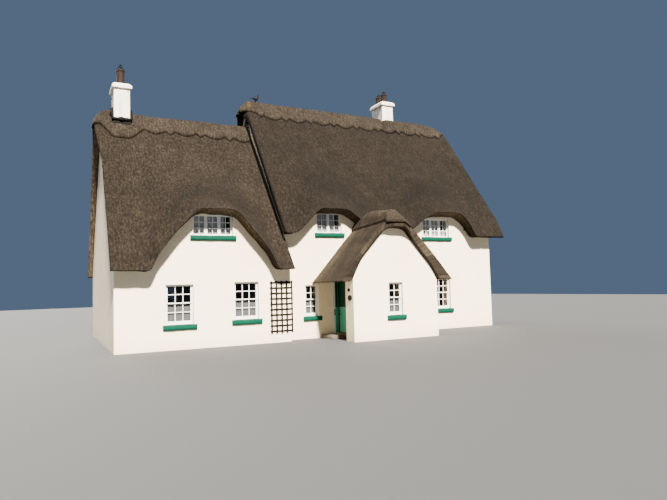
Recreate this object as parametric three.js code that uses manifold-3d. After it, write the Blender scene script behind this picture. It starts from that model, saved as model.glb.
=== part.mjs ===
// Thatched cottage: a one-and-a-half storey left wing, a taller main block and a gabled entrance porch.
// Millimetres, +Z up. The front faces -Y, the ridges run along X.
// Places are first written from the left wing's front left wall corner on the ground, X to the right
// and Y to the back, and one group then moves the whole house so that its origin lies on the ground
// under the main ridge, midway along the front.
import * as THREE from 'three';
import { mergeVertices } from 'three/addons/utils/BufferGeometryUtils.js';
import Module from 'manifold-3d';

const wasm = await Module();
wasm.setup();

// Driving dimensions
const ORIGIN_X = 8500;
const ORIGIN_Y = 4750;
const GAP = 0.3;
const FLOOR_TOP = 200;

// The two blocks. dip lowers the ridge near a gable, where it ends in a soft nose, and coat is the thickness
// of the straw measured straight down, less at a verge: [x, size] pairs. leftVerge and rightVerge are how
// far a verge stands out beyond its end station, by the distance behind the ridge.
const LEFT = {
  x0: 0, x1: 6200, front: 0, back: 9200, ridgeY: 4600,
  eaveY: -580, eaveZ: 2720, ridgeZ: 9340, upperFloor: 2950,
  dip: [[-340, 410], [-250, 240], [-160, 130], [-20, 0]],
  coat: [[-130, 180], [0, 330], [450, 480], [650, 630]],
  leftVerge: [[-1600, 0], [-1000, 90], [-590, 145], [0, 210], [300, 190], [620, 150], [1500, 125],
    [4160, 75], [5180, 60]],
  rightVerge: [[0, 0]],
};
const MAIN = {
  x0: 6200, x1: 16750, front: 500, back: 9000, ridgeY: 4750,
  eaveY: -50, eaveZ: 4120, ridgeZ: 10640, upperFloor: 3200,
  dip: [[5800, 550], [5970, 340], [6110, 180], [6310, 20], [6450, 0], [13000, 20], [16645, 65],
    [17083, 165], [17470, 400]],
  coat: [[6190, 220], [6650, 320], [6800, 630], [16300, 630], [16750, 450], [17120, 250]],
  leftVerge: [[-700, 0], [-410, 60], [-150, 250], [0, 390], [150, 340], [300, 265], [500, 210], [650, 160],
    [1200, 40], [1800, 0]],
  rightVerge: [[-4800, 116], [-4460, 250], [-4080, 335], [-3060, 340], [-1670, 400], [-870, 410],
    [-250, 370], [0, 320], [250, 370], [870, 410], [1670, 400], [3060, 340], [4080, 335], [4460, 250],
    [4800, 116]],
};
const SIDE_WALL = 500;
const GABLE_WALL = 450;
const WING_LAP = 100;

// Porch: the front wall, the right wall, and the wall that holds the door and faces left. Its roof is
// higher at the verge than where it meets the house, so each end has its own outline of [x, z] pairs,
// from the left eave over the top to the right eave.
const PORCH = {
  x0: 7950, x1: 11720, front: -1950, pier: 600, doorX: 8550, wall: 450, verge: -2300,
  vergeTop: [[7440, 2190], [8340, 3400], [9240, 4330], [9480, 4620], [9700, 4640], [10180, 4330],
    [10660, 3990], [11470, 3120], [12290, 2190]],
  vergeUnder: [[7800, 2190], [8260, 3060], [8890, 3730], [9250, 4110], [9500, 4210], [10180, 4200],
    [10400, 3910], [11480, 2720], [11790, 2190]],
  houseTop: [[7440, 2190], [8340, 3190], [9240, 4200], [9480, 4470], [9700, 4490], [10180, 4190],
    [10660, 3840], [11470, 3030], [12290, 2190]],
  houseUnder: [[7800, 2190], [8260, 2830], [8890, 3560], [9250, 3920], [9500, 4020], [10180, 4020],
    [10400, 3760], [11480, 2620], [11790, 2190]],
};

// Thatch: the full coat, the least left under a nose, how far a nose's dip reaches down the slope, and the
// depth of the flat cut under the eaves
const FULL_COAT = 630;
const LEAST_COAT = 120;
const NOSE_REACH = 420;
const EAVE_CUT = 490;
const BROW_REACH = 3400;

// Upper windows lift the eaves in raised waves: stations along the front and the lift at each
const LEFT_WAVE = [[1150, 0], [1260, 440], [2140, 1550], [2660, 2090], [2850, 2160], [3950, 2160],
  [4200, 2050], [4900, 1190], [5420, 520], [5560, 90], [5700, 0]];
const MAIN_WAVE = [[6600, 0], [6850, 190], [7270, 620], [7530, 890], [7760, 1000], [8880, 1010],
  [9160, 830], [9700, 470], [10250, 130], [10600, 0], [11500, 0], [11750, 120], [12070, 270],
  [12600, 690], [13120, 960], [13550, 1050], [14620, 1060], [14950, 850], [15260, 510],
  [15420, 160], [15560, 0]];

// Ridge caps of laid straw. Their depths are measured down the slope: an edge of its own near the verge,
// then from start on wide scallops with a small pointed tooth between each two.
const CAP_THICK = 100;
const SCALLOP_WIDE = 890;
const LEFT_CAP = {
  from: -340, to: 6190, start: 1590, stop: 6190, pitch: 1280, deep: 780, bulge: 220,
  edge: [[-340, 620], [-170, 620], [-66, 700], [32, 840], [195, 1120], [325, 1380], [453, 1470],
    [1000, 1465], [1250, 1230], [1420, 1000], [1590, 800]],
  crown: [[-100, 0], [100, 60], [350, 105], [1000, 50], [1600, 30]],
};
const MAIN_CAP = {
  from: 5800, to: 17460, start: 6930, stop: 17066, pitch: 1267, deep: 870, bulge: 220,
  edge: [[5800, 760], [5922, 710], [6108, 660], [6290, 655], [6452, 685], [6600, 760], [6778, 1000],
    [6930, 830]],
  crown: [[6000, 0]],
};
const PORCH_CAP = [[9330, 110], [9480, 170], [9700, 190], [10180, 130], [10330, 110]];
const LEAD = { thick: 40, up: 160, strip: 30, stripUp: 300 };
const BIRD = { x: 6725, up: 140 };
const BARGE = { x0: 7850, x1: 11770, y0: -2170, y1: -2110, deep: 50 };

// Chimneys: a shaft, a cap with a sloping top, and clay pots with a wire guard
const STACKS = [
  { name: 'left', x: 450, y: 4160, wide: 610, deep: 980, top: 10400,
    pots: [0.5], pot: { r: 150, h: 700, guard: 310 } },
  { name: 'right', x: 13575, y: 4500, wide: 640, deep: 1020, top: 11390,
    pots: [0.29, 0.8], pot: { r: 130, h: 480, guard: 210 } },
];
const STACK_CAP = { over: 80, band: 110, slope: 100 };

// Windows: opening left, right, sill top and head, in the wall plane
const SILL = { out: 90, side: 110, deep: 230, thick: 150 };
const FRAME = { recess: 100, depth: 90, width: 60 };
const PANE = 10;

const colours = {
  limewash: [0xf2ece0, 0.9, 0], thatch: [0x6f6152, 1, 0], ridge: [0x84745e, 1, 0],
  white_timber: [0xf4f4f0, 0.5, 0], green_paint: [0x1f6b4c, 0.5, 0], glass: [0x26303a, 0.05, 0],
  lead: [0x4a4d50, 0.6, 0.6], clay: [0x5a4238, 0.8, 0], dark_timber: [0x3a2f28, 0.8, 0],
  floor: [0x9b948a, 0.9, 0], boards: [0x8a6f50, 0.7, 0], step_stone: [0xb5aa98, 0.9, 0],
};

const house = new THREE.Group();
house.position.set(-ORIGIN_X, -ORIGIN_Y, 0);

function solid(geometry) {
  const g = geometry.clone();
  g.deleteAttribute('normal');
  g.deleteAttribute('uv');
  const m = mergeVertices(g, 0.01);
  return new wasm.Manifold(new wasm.Mesh({
    numProp: 3,
    vertProperties: new Float32Array(m.attributes.position.array),
    triVerts: new Uint32Array(m.index.array),
  }));
}

function block(x0, x1, y0, y1, z0, z1) {
  const g = new THREE.BoxGeometry(x1 - x0, y1 - y0, z1 - z0);
  g.translate((x0 + x1) / 2, (y0 + y1) / 2, (z0 + z1) / 2);
  return solid(g);
}

function drum(x, y, z0, z1, r, sides = 16) {
  const g = new THREE.CylinderGeometry(r, r, z1 - z0, sides);
  g.rotateX(Math.PI / 2);
  g.translate(x, y, (z0 + z1) / 2);
  return solid(g);
}

function piece(name, body, slot) {
  const mesh = body.getMesh();
  const g = new THREE.BufferGeometry();
  g.setAttribute('position', new THREE.BufferAttribute(new Float32Array(mesh.vertProperties), 3));
  g.setIndex(new THREE.BufferAttribute(new Uint32Array(mesh.triVerts), 1));
  g.computeVertexNormals();
  const [color, roughness, metalness] = colours[slot];
  const m = new THREE.Mesh(g, new THREE.MeshStandardMaterial({ color, roughness, metalness }));
  m.name = name;
  house.add(m);
}

// A closed body from rings of equal length, each a list of [x, y, z]. The first half of a ring runs along
// the top from one edge to the other and the second half runs back along the underside, so each end is
// closed by a ladder of quads between the two.
function loft(rings) {
  const n = rings[0].length;
  const verts = rings.flat(2);
  const tris = [];
  for (let i = 0; i + 1 < rings.length; i += 1) {
    for (let j = 0; j < n; j += 1) {
      const a = i * n + j;
      const b = i * n + ((j + 1) % n);
      tris.push(a, b, a + n, b, b + n, a + n);
    }
  }
  const last = (rings.length - 1) * n;
  for (let j = 0; j + 1 < n / 2; j += 1) {
    const k = n - 1 - j;
    tris.push(j, k, j + 1, j + 1, k, k - 1);
    tris.push(last + j, last + j + 1, last + k, last + j + 1, last + k - 1, last + k);
  }
  const made = new wasm.Manifold(new wasm.Mesh({
    numProp: 3, vertProperties: new Float32Array(verts), triVerts: new Uint32Array(tris),
  }));
  if (made.volume() > 0) return made;
  for (let t = 0; t < tris.length; t += 3) [tris[t], tris[t + 1]] = [tris[t + 1], tris[t]];
  return new wasm.Manifold(new wasm.Mesh({
    numProp: 3, vertProperties: new Float32Array(verts), triVerts: new Uint32Array(tris),
  }));
}

function table(points, x) {
  if (x <= points[0][0]) return points[0][1];
  for (let i = 1; i < points.length; i += 1) {
    const [xa, a] = points[i - 1];
    const [xb, b] = points[i];
    if (x <= xb) return a + ((b - a) * (x - xa)) / (xb - xa);
  }
  return points[points.length - 1][1];
}

// Thatch surface of a block at a station, by the distance t from the ridge plane towards an eave. A
// straight slope, raised near the eave where a wave lifts it; the lift fades towards the ridge.
function thatchHeight(b, lift, t) {
  const run = b.ridgeY - b.eaveY;
  const reach = Math.min(run, BROW_REACH - b.eaveY);
  const s = Math.max(0, 1 - (run - t) / reach);
  return b.ridgeZ - ((b.ridgeZ - b.eaveZ) * t) / run + lift * s ** 1.5;
}

// Places down the slope, closer together near the ridge, as parts of its whole run
const SLOPE = [0, 0.03, 0.06, 0.1, 0.15, 0.25, 0.4, 0.6, 0.8, 0.93, 1];

// How far the surface lies under the straight ridge near a gable
function fall(b, x, t) {
  return table(b.dip, x) * Math.max(0, 1 - t / NOSE_REACH);
}

// Half a roof section as [t, z] pairs, from the eave tip up the top surface to the ridge, and the
// underside from the ridge down to the inner edge of the flat eaves cut
function halfSection(b, lift, x, coat) {
  const run = b.ridgeY - b.eaveY;
  const top = [];
  const under = [];
  const cut = run - EAVE_CUT - 0.06 * lift;
  const startDrop = thatchHeight(b, lift, cut) - thatchHeight(b, lift, run);
  const bend = 2 + 4 * (1 - coat / FULL_COAT);
  SLOPE.slice().reverse().forEach((k) => {
    const dipped = fall(b, x, run * k);
    top.push([run * k, thatchHeight(b, lift, run * k) - dipped]);
    const drop = Math.max(coat + (startDrop - coat) * k ** bend, fall(b, x, cut * k) + LEAST_COAT);
    under.push([cut * k, thatchHeight(b, lift, cut * k) - drop]);
  });
  under.reverse();
  return { top, under };
}

const SKY = 14000;

// Closes a line of [u, z] points with as many points high above it
function skyOver(line) {
  const from = line[0][0];
  const to = line[line.length - 1][0];
  const high = line.map((p, i) => [from + ((to - from) * i) / (line.length - 1), SKY]);
  return [...high, ...line.slice().reverse()];
}

// Outline of the whole roof section at one station; kind picks the thatch itself or all above its underside
function section(b, lift, x, coat, kind) {
  const { top, under } = halfSection(b, lift, x, coat);
  const mirrored = (list) => [...list.map(([t, z]) => [b.ridgeY - t, z]),
    ...list.slice(0, -1).reverse().map(([t, z]) => [b.ridgeY + t, z])];
  const lower = under.slice().reverse();
  if (kind === 'thatch') return [...mirrored(top), ...mirrored(lower).reverse()];
  return skyOver(mirrored([top[0], ...lower]));
}

// Stations along the front: the ridge's and the wave's own points, a plain grid and the two ends
function stations(b, wave, from, to) {
  const list = [from, to, ...[...wave, ...b.dip, ...b.coat].map(([x]) => x)];
  for (let x = 0; x < to; x += 600) list.push(x);
  return [...new Set(list)].filter((x) => x >= from && x <= to).sort((p, q) => p - q);
}

// A block's roof from one end to the other
function roofBody(b, wave, from, to, kind) {
  const flush = [[0, 0]];
  const rings = stations(b, wave, from, to).map((x) => {
    let verge = flush;
    if (kind === 'thatch' && x === from) verge = b.leftVerge.map(([t, out]) => [t, -out]);
    if (kind === 'thatch' && x === to) verge = b.rightVerge;
    const nose = x + table(verge, 0);
    return section(b, table(wave, x), nose, table(b.coat, x), kind)
      .map(([y, z]) => [x + table(verge, y - b.ridgeY), y, z]);
  });
  return loft(rings);
}

const leftThatch = roofBody(LEFT, LEFT_WAVE, -130, 6300, 'thatch');
const leftAbove = roofBody(LEFT, LEFT_WAVE, -600, 6800, 'above').translate([0, 0, -GAP]);
const mainThatch = roofBody(MAIN, MAIN_WAVE, 6190, 17120, 'thatch');
const mainAbove = roofBody(MAIN, MAIN_WAVE, 5000, 17800, 'above').translate([0, 0, -GAP]);

// Cuts a body back from its neighbour, with a hair of clearance on every side
function clearOf(body, other) {
  const moves = [[GAP, 0, 0], [-GAP, 0, 0], [0, GAP, 0], [0, -GAP, 0], [0, 0, GAP], [0, 0, -GAP]];
  return moves.reduce((left, move) => left.subtract(other.translate(move)), body);
}

// Porch roof from the verge to the house wall
const mainWallPlane = MAIN.front - GAP;
function porchRing(kind, y, top, under) {
  const line = kind === 'thatch' ? [...top, ...under.slice().reverse()]
    : skyOver([top[0], ...under, top[top.length - 1]]);
  return line.map(([x, z]) => [x, y, z]);
}
const porchBody = (kind, ahead) => loft([
  ...ahead.map((y) => porchRing(kind, y, PORCH.vergeTop, PORCH.vergeUnder)),
  porchRing(kind, mainWallPlane, PORCH.houseTop, PORCH.houseUnder),
]);
const porchThatch = clearOf(porchBody('thatch', [PORCH.verge]), mainThatch);
const porchAbove = porchBody('above', [PORCH.verge - 200, PORCH.verge]).translate([0, 0, -GAP]);

// Windows
const windows = [
  { name: 'window_left_lower_1', wall: 'leftFront', x0: 1670, x1: 2620, z0: 860, z1: 2250 },
  { name: 'window_left_lower_2', wall: 'leftFront', x0: 4100, x1: 5030, z0: 920, z1: 2290 },
  { name: 'window_left_upper', wall: 'leftFront', x0: 2630, x1: 4080, z0: 3980, z1: 4740 },
  { name: 'window_main_lower_1', wall: 'mainFront', x0: 7140, x1: 7720, z0: 880, z1: 2110 },
  { name: 'window_main_lower_2', wall: 'mainFront', x0: 13490, x1: 14360, z0: 900, z1: 2250 },
  { name: 'window_main_upper_1', wall: 'mainFront', x0: 7720, x1: 8840, z0: 4205, z1: 5040 },
  { name: 'window_main_upper_2', wall: 'mainFront', x0: 12960, x1: 14400, z0: 4115, z1: 4940 },
  { name: 'window_porch', wall: 'porchFront', x0: 9480, x1: 10100, z0: 900, z1: 2130 },
  { name: 'window_back_left_lower', wall: 'leftBack', x0: 2900, x1: 3830, z0: 900, z1: 2270 },
  { name: 'window_back_left_upper', wall: 'leftBack', x0: 2630, x1: 4080, z0: 3980, z1: 4740 },
  { name: 'window_back_main_lower_1', wall: 'mainBack', x0: 7800, x1: 8730, z0: 900, z1: 2270 },
  { name: 'window_back_main_lower_2', wall: 'mainBack', x0: 13490, x1: 14420, z0: 900, z1: 2270 },
  { name: 'window_back_main_upper', wall: 'mainBack', x0: 13100, x1: 14540, z0: 4115, z1: 4940 },
];
const wallPlanes = {
  leftFront: [LEFT.front, 1], mainFront: [MAIN.front, 1], porchFront: [PORCH.front, 1],
  leftBack: [LEFT.back, -1], mainBack: [MAIN.back, -1],
};

// Blocks measured inwards from a wall's outer face
function wallBlock(wall, x0, x1, in0, in1, z0, z1) {
  const [face, inward] = wallPlanes[wall];
  const ys = [face + inward * in0, face + inward * in1].sort((a, b) => a - b);
  return block(x0, x1, ys[0], ys[1], z0, z1);
}

function cutWindows(body, wall) {
  let out = body;
  windows.filter((w) => w.wall === wall).forEach((w) => {
    const seat = SILL.side + GAP;
    const under = w.z0 - SILL.thick - GAP;
    out = out.subtract(wallBlock(wall, w.x0, w.x1, -100, 900, w.z0, w.z1))
      .subtract(wallBlock(wall, w.x0 - seat, w.x1 + seat, -200, SILL.deep + GAP, under, w.z0 + GAP));
  });
  return out;
}

windows.forEach((w) => {
  const { recess, depth, width } = FRAME;
  const outer = wallBlock(w.wall, w.x0 + GAP, w.x1 - GAP, recess, recess + depth, w.z0 - 1, w.z1 - GAP);
  const light = wallBlock(w.wall, w.x0 + width, w.x1 - width, 0, 400, w.z0 + width, w.z1 - width);
  const under = w.z0 - SILL.thick;
  const sill = wallBlock(w.wall, w.x0 - SILL.side, w.x1 + SILL.side, -SILL.out, SILL.deep, under, w.z0);
  piece(w.name, outer.subtract(light).add(sill), 'white_timber');
});

// Glass: one sheet for each storey of a wall, against the wall's inner face
function glass(name, wall, x0, x1, z0, z1, thick = SIDE_WALL) {
  piece(name, wallBlock(wall, x0, x1, thick + GAP, thick + GAP + PANE, z0, z1), 'glass');
}
glass('glass_left_lower', 'leftFront', 1620, 5080, 820, 2330);
glass('glass_left_upper', 'leftFront', 2580, 4130, 3930, 4790);
glass('glass_main_lower_1', 'mainFront', 7090, 7770, 830, 2160);
glass('glass_main_lower_2', 'mainFront', 13440, 14410, 850, 2300);
glass('glass_main_upper_1', 'mainFront', 7680, 8880, 4165, 5070);
glass('glass_main_upper_2', 'mainFront', 12920, 14440, 4075, 4970);
glass('glass_porch', 'porchFront', 9430, 10150, 850, 2180, PORCH.pier);
glass('glass_back_left_lower', 'leftBack', 2850, 3880, 850, 2320);
glass('glass_back_left_upper', 'leftBack', 2580, 4130, 3930, 4790);
glass('glass_back_main_lower', 'mainBack', 7750, 14470, 850, 2320);
glass('glass_back_main_upper', 'mainBack', 13050, 14590, 4065, 4985);

// A wall as a block that stops under the thatch above it
const TALL = 12000;
function wallUnder(above, thatch, ...box) {
  return block(...box, 0, TALL).subtract(above).subtract(thatch.translate([0, 0, -GAP]));
}
const leftWall = (...box) => wallUnder(leftAbove, leftThatch, ...box);
const mainWall = (...box) => wallUnder(mainAbove, mainThatch, ...box);
const porchWall = (...box) => wallUnder(porchAbove, porchThatch, ...box);

// Walls of the left wing
const leftInner = [GABLE_WALL + GAP, LEFT.x1 - GAP];
piece('left_gable_wall', leftWall(LEFT.x0, GABLE_WALL, LEFT.front, LEFT.back), 'limewash');
const leftFrontWall = leftWall(leftInner[0], LEFT.x1 + WING_LAP, LEFT.front, SIDE_WALL - GAP);
piece('left_front_wall', cutWindows(leftFrontWall, 'leftFront'), 'limewash');
const leftBackWall = leftWall(...leftInner, LEFT.back - SIDE_WALL, LEFT.back);
piece('left_back_wall', cutWindows(leftBackWall, 'leftBack'), 'limewash');

// Walls of the main block, with a plain opening from the porch into the house
const LOBBY_DOOR = { x0: 9350, x1: 10250, top: 2250 };
const mainInner = [MAIN.x0 + GABLE_WALL + GAP, MAIN.x1 - GABLE_WALL - GAP];
piece('main_left_gable_wall', mainWall(MAIN.x0, MAIN.x0 + GABLE_WALL, MAIN.front, MAIN.back), 'limewash');
piece('main_right_gable_wall', mainWall(MAIN.x1 - GABLE_WALL, MAIN.x1, MAIN.front, MAIN.back), 'limewash');
const mainFrontWall = mainWall(...mainInner, MAIN.front, MAIN.front + SIDE_WALL)
  .subtract(block(LOBBY_DOOR.x0, LOBBY_DOOR.x1, 0, 1500, -1, LOBBY_DOOR.top));
piece('main_front_wall', cutWindows(mainFrontWall, 'mainFront'), 'limewash');
const mainBackWall = mainWall(...mainInner, MAIN.back - SIDE_WALL, MAIN.back);
piece('main_back_wall', cutWindows(mainBackWall, 'mainBack'), 'limewash');

// Porch walls: the one that faces left is split beside and over its door
const DOOR = { y0: -456, y1: 500 - GAP, head: 2330 };
const doorWall = [PORCH.doorX, PORCH.doorX + PORCH.wall];
const porchInner = PORCH.front + PORCH.pier + GAP;
const porchFrontWall = porchWall(PORCH.x0, PORCH.x1, PORCH.front, PORCH.front + PORCH.pier);
piece('porch_front_wall', cutWindows(porchFrontWall, 'porchFront'), 'limewash');
piece('porch_right_wall', porchWall(PORCH.x1 - PORCH.wall, PORCH.x1, porchInner, mainWallPlane), 'limewash');
piece('porch_door_side_wall', porchWall(...doorWall, porchInner, DOOR.y0), 'limewash');
const overDoor = porchWall(...doorWall, DOOR.y0 + GAP, mainWallPlane);
const doorHole = block(8000, 9500, -1000, 1000, -1, DOOR.head + GAP);
piece('porch_door_head_wall', overDoor.subtract(doorHole), 'limewash');

// Chimney stacks rise from the ground floor through floors and thatch
function stackBox(s, grow, z0, z1) {
  return block(s.x - grow, s.x + s.wide + grow, s.y - grow, s.y + s.deep + grow, z0, z1);
}
const stackHoles = STACKS.map((s) => stackBox(s, GAP, -100, SKY));
const stackHole = stackHoles[0].add(stackHoles[1]);

// A clay pot: eight sides, a rim, a bore, and four wires that meet in a point over it
function chimneyPot(x, y, z, pot) {
  let body = drum(x, y, z, z + pot.h, pot.r, 8)
    .add(drum(x, y, z + pot.h - 60, z + pot.h, pot.r + 20, 8))
    .subtract(drum(x, y, z + 60, z + pot.h + 10, pot.r - 30, 8));
  const tip = z + pot.h + pot.guard;
  [[1, 0], [-1, 0], [0, 1], [0, -1]].forEach(([u, v]) => {
    const fx = x + u * (pot.r - 8);
    const fy = y + v * (pot.r - 8);
    const foot = block(fx - 12, fx + 12, fy - 12, fy + 12, z + pot.h - 20, z + pot.h + 4);
    const top = block(x - 10, x + 10, y - 10, y + 10, tip - 100, tip - 76);
    body = body.add(wasm.Manifold.hull([foot, top]));
  });
  return body.add(block(x - 9, x + 9, y - 9, y + 9, tip - 100, tip));
}

STACKS.forEach((s) => {
  const { over, band, slope } = STACK_CAP;
  const x0 = s.name === 'left' ? s.x + GAP : s.x;
  const shaft = block(x0, s.x + s.wide, s.y, s.y + s.deep, FLOOR_TOP + GAP, s.top + 1);
  const rim = stackBox(s, over, s.top, s.top + band);
  const top = wasm.Manifold.hull([rim, stackBox(s, -30, s.top, s.top + band + slope)]);
  piece(`chimney_stack_${s.name}`, shaft.add(top), 'limewash');
  s.pots.forEach((v, i) => {
    const pot = chimneyPot(s.x + s.wide / 2, s.y + s.deep * v, s.top + band + slope + GAP, s.pot);
    piece(`chimney_pot_${s.name}_${i + 1}`, pot, 'clay');
  });
});

// Ridge caps: a saddle of straw over each ridge, its lower edges scalloped
function capDepth(cap, x) {
  if (x < cap.start) return table(cap.edge, x);
  if (x > cap.stop) return cap.deep - (x - cap.stop);
  const along = (x - cap.start) % cap.pitch;
  if (along < SCALLOP_WIDE) return cap.deep + cap.bulge * Math.sin((Math.PI * along) / SCALLOP_WIDE);
  const u = (along - SCALLOP_WIDE) / (cap.pitch - SCALLOP_WIDE);
  return cap.deep + cap.bulge * (1 - Math.abs(2 * u - 1));
}

function capStations(b, cap) {
  const list = [cap.from, cap.to, cap.stop, ...cap.edge.map(([x]) => x), ...b.dip.map(([x]) => x)];
  for (let x = cap.start; x < cap.stop; x += cap.pitch) {
    [0, 0.12, 0.3, 0.5, 0.7, 0.88, 1].forEach((u) => list.push(x + u * SCALLOP_WIDE));
    list.push(x + (SCALLOP_WIDE + cap.pitch) / 2);
  }
  const sorted = list.filter((x) => x >= cap.from && x <= cap.to).sort((p, q) => p - q);
  return sorted.filter((x, i) => i === 0 || x - sorted[i - 1] > 1);
}

function capBody(b, cap) {
  const slope = (b.ridgeZ - b.eaveZ) / (b.ridgeY - b.eaveY);
  return loft(capStations(b, cap).map((x) => {
    const edge = capDepth(cap, x) / Math.hypot(1, slope);
    const at = (t, over) => [t, b.ridgeZ - slope * t - fall(b, x, t) + over + 2 * GAP];
    const crown = table(cap.crown, x);
    const over = [at(edge, CAP_THICK * 1.4), at(edge * 0.4, CAP_THICK * 1.5 + crown * 0.7),
      at(0, CAP_THICK + crown)];
    const under = [at(edge, 0), at(edge * 0.4, 0), at(0, 0)];
    const both = (half) => [...half.map(([t, z]) => [x, b.ridgeY - t, z]),
      ...half.slice(0, -1).reverse().map(([t, z]) => [x, b.ridgeY + t, z])];
    return [...both(over), ...both(under).reverse()];
  }));
}
const seated = (cap, thatch) => cap.subtract(thatch.translate([-GAP, 0, GAP]))
  .subtract(thatch.translate([GAP, 0, GAP]));
const leftCap = seated(capBody(LEFT, LEFT_CAP), leftThatch);
const mainCap = seated(capBody(MAIN, MAIN_CAP), mainThatch);

const behindMainWall = block(MAIN.x0 - GAP, 9000, MAIN.front - GAP, 12000, 0, SKY);
const mainClear = mainThatch.translate([-GAP, 0, -GAP]);
const leftRoof = leftThatch.subtract(behindMainWall).subtract(stackHoles[0]).subtract(mainClear);
const leftSaddle = leftCap.subtract(stackHoles[0]).subtract(behindMainWall).subtract(mainClear);
piece('left_thatch', leftRoof, 'thatch');
piece('main_thatch', mainThatch.subtract(stackHoles[1]), 'thatch');
piece('porch_thatch', porchThatch, 'thatch');
piece('left_ridge_cap', leftSaddle, 'ridge');
piece('main_ridge_cap', mainCap.subtract(stackHoles[1]), 'ridge');

// Porch ridge cap: a saddle over the rounded top, running back to the main thatch
function porchCapRing(y, top) {
  return [
    ...PORCH_CAP.map(([x, thick]) => [x, y, table(top, x) + thick]),
    ...PORCH_CAP.slice().reverse().map(([x]) => [x, y, table(top, x) + GAP]),
  ];
}
const porchSaddle = loft([porchCapRing(PORCH.verge - 40, PORCH.vergeTop),
  porchCapRing(PORCH.verge, PORCH.vergeTop), porchCapRing(mainWallPlane, PORCH.houseTop)]);
piece('porch_ridge_cap', clearOf(clearOf(porchSaddle, mainThatch), porchThatch), 'ridge');

// Lead flashing: a collar round the left stack on its ridge cap, and a strip where the left wing's thatch
// meets the main block's gable wall
const raised = (body, heights) => heights.map((dz) => body.translate([0, 0, dz])).reduce((p, q) => p.add(q));
const collar = stackBox(STACKS[0], LEAD.thick, 8000, STACKS[0].top).subtract(stackHoles[0]);
const apron = collar.intersect(raised(leftCap, [0, LEAD.up / 2, LEAD.up]))
  .subtract(raised(leftCap, [-LEAD.up / 2, -GAP, 0, GAP]));
piece('chimney_flashing_left', apron, 'lead');
const strip = block(MAIN.x0 - GAP - LEAD.strip, MAIN.x0 - GAP, MAIN.front - 200, MAIN.back + 300, 0, SKY);
const leftSurface = leftThatch.add(raised(leftCap, [-80, 0]));
const stripBody = strip.intersect(raised(leftSurface, [0, LEAD.stripUp / 2, LEAD.stripUp]))
  .subtract(raised(leftThatch, [-160, 0]));
piece('gable_flashing', clearOf(stripBody, leftSurface).subtract(mainClear), 'lead');

// Straw bird on the left end of the main ridge: foot, body, head with a long beak, tail turned up
function ball(x, y, z, rx, ry, rz) {
  const g = new THREE.SphereGeometry(1, 12, 8);
  g.scale(rx, ry, rz);
  g.translate(x, y, z);
  return solid(g);
}
const perch = MAIN.ridgeZ + CAP_THICK + GAP + 0.3;
const birdZ = perch + BIRD.up;
const birdBeak = wasm.Manifold.hull([ball(BIRD.x - 90, MAIN.ridgeY, birdZ + 25, 30, 25, 25),
  ball(BIRD.x - 330, MAIN.ridgeY, birdZ + 15, 12, 10, 10)]);
const birdTail = wasm.Manifold.hull([ball(BIRD.x + 90, MAIN.ridgeY, birdZ + 5, 40, 30, 30),
  ball(BIRD.x + 130, MAIN.ridgeY, birdZ + 245, 26, 14, 16)]);
const birdFoot = block(BIRD.x - 35, BIRD.x + 35, MAIN.ridgeY - 30, MAIN.ridgeY + 30, perch, birdZ - 40);
const birdBody = ball(BIRD.x, MAIN.ridgeY, birdZ, 150, 75, 75);
piece('straw_bird', birdFoot.add(birdBody).add(birdBeak).add(birdTail), 'ridge');

// Barge timber under the porch's verge, down both slopes and across the flat between them
const bargeBand = porchAbove.translate([0, 0, -BARGE.deep]).subtract(porchAbove);
const barge = block(BARGE.x0, BARGE.x1, BARGE.y0, BARGE.y1, 2100, 6000).intersect(bargeBand);
piece('porch_rafters', barge.subtract(porchThatch.translate([0, 0, -GAP])), 'dark_timber');

// Floors: a ground slab in each block, the main one running on through the porch opening
const leftFloor = [...leftInner, LEFT.front + SIDE_WALL, LEFT.back - SIDE_WALL - GAP];
const mainFloor = [...mainInner, MAIN.front + SIDE_WALL + GAP, MAIN.back - SIDE_WALL - GAP];
piece('left_ground_floor', block(...leftFloor, 0, FLOOR_TOP), 'floor');
const porchRight = PORCH.x1 - PORCH.wall - GAP;
const porchFloor = block(doorWall[1] + GAP, porchRight, porchInner, mainWallPlane, 0, FLOOR_TOP);
piece('main_ground_floor', block(...mainFloor, 0, FLOOR_TOP).add(porchFloor)
  .add(block(LOBBY_DOOR.x0 + GAP, LOBBY_DOOR.x1 - GAP, 100, 1600, 0, FLOOR_TOP))
  .add(block(doorWall[0], doorWall[1] + 10, DOOR.y0 + GAP, mainWallPlane, 0, FLOOR_TOP)), 'floor');
const upper = (b, box) => block(...box, b.upperFloor - 200, b.upperFloor).subtract(stackHole);
piece('left_upper_floor', upper(LEFT, leftFloor), 'boards');
piece('main_upper_floor', upper(MAIN, mainFloor), 'boards');

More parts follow.
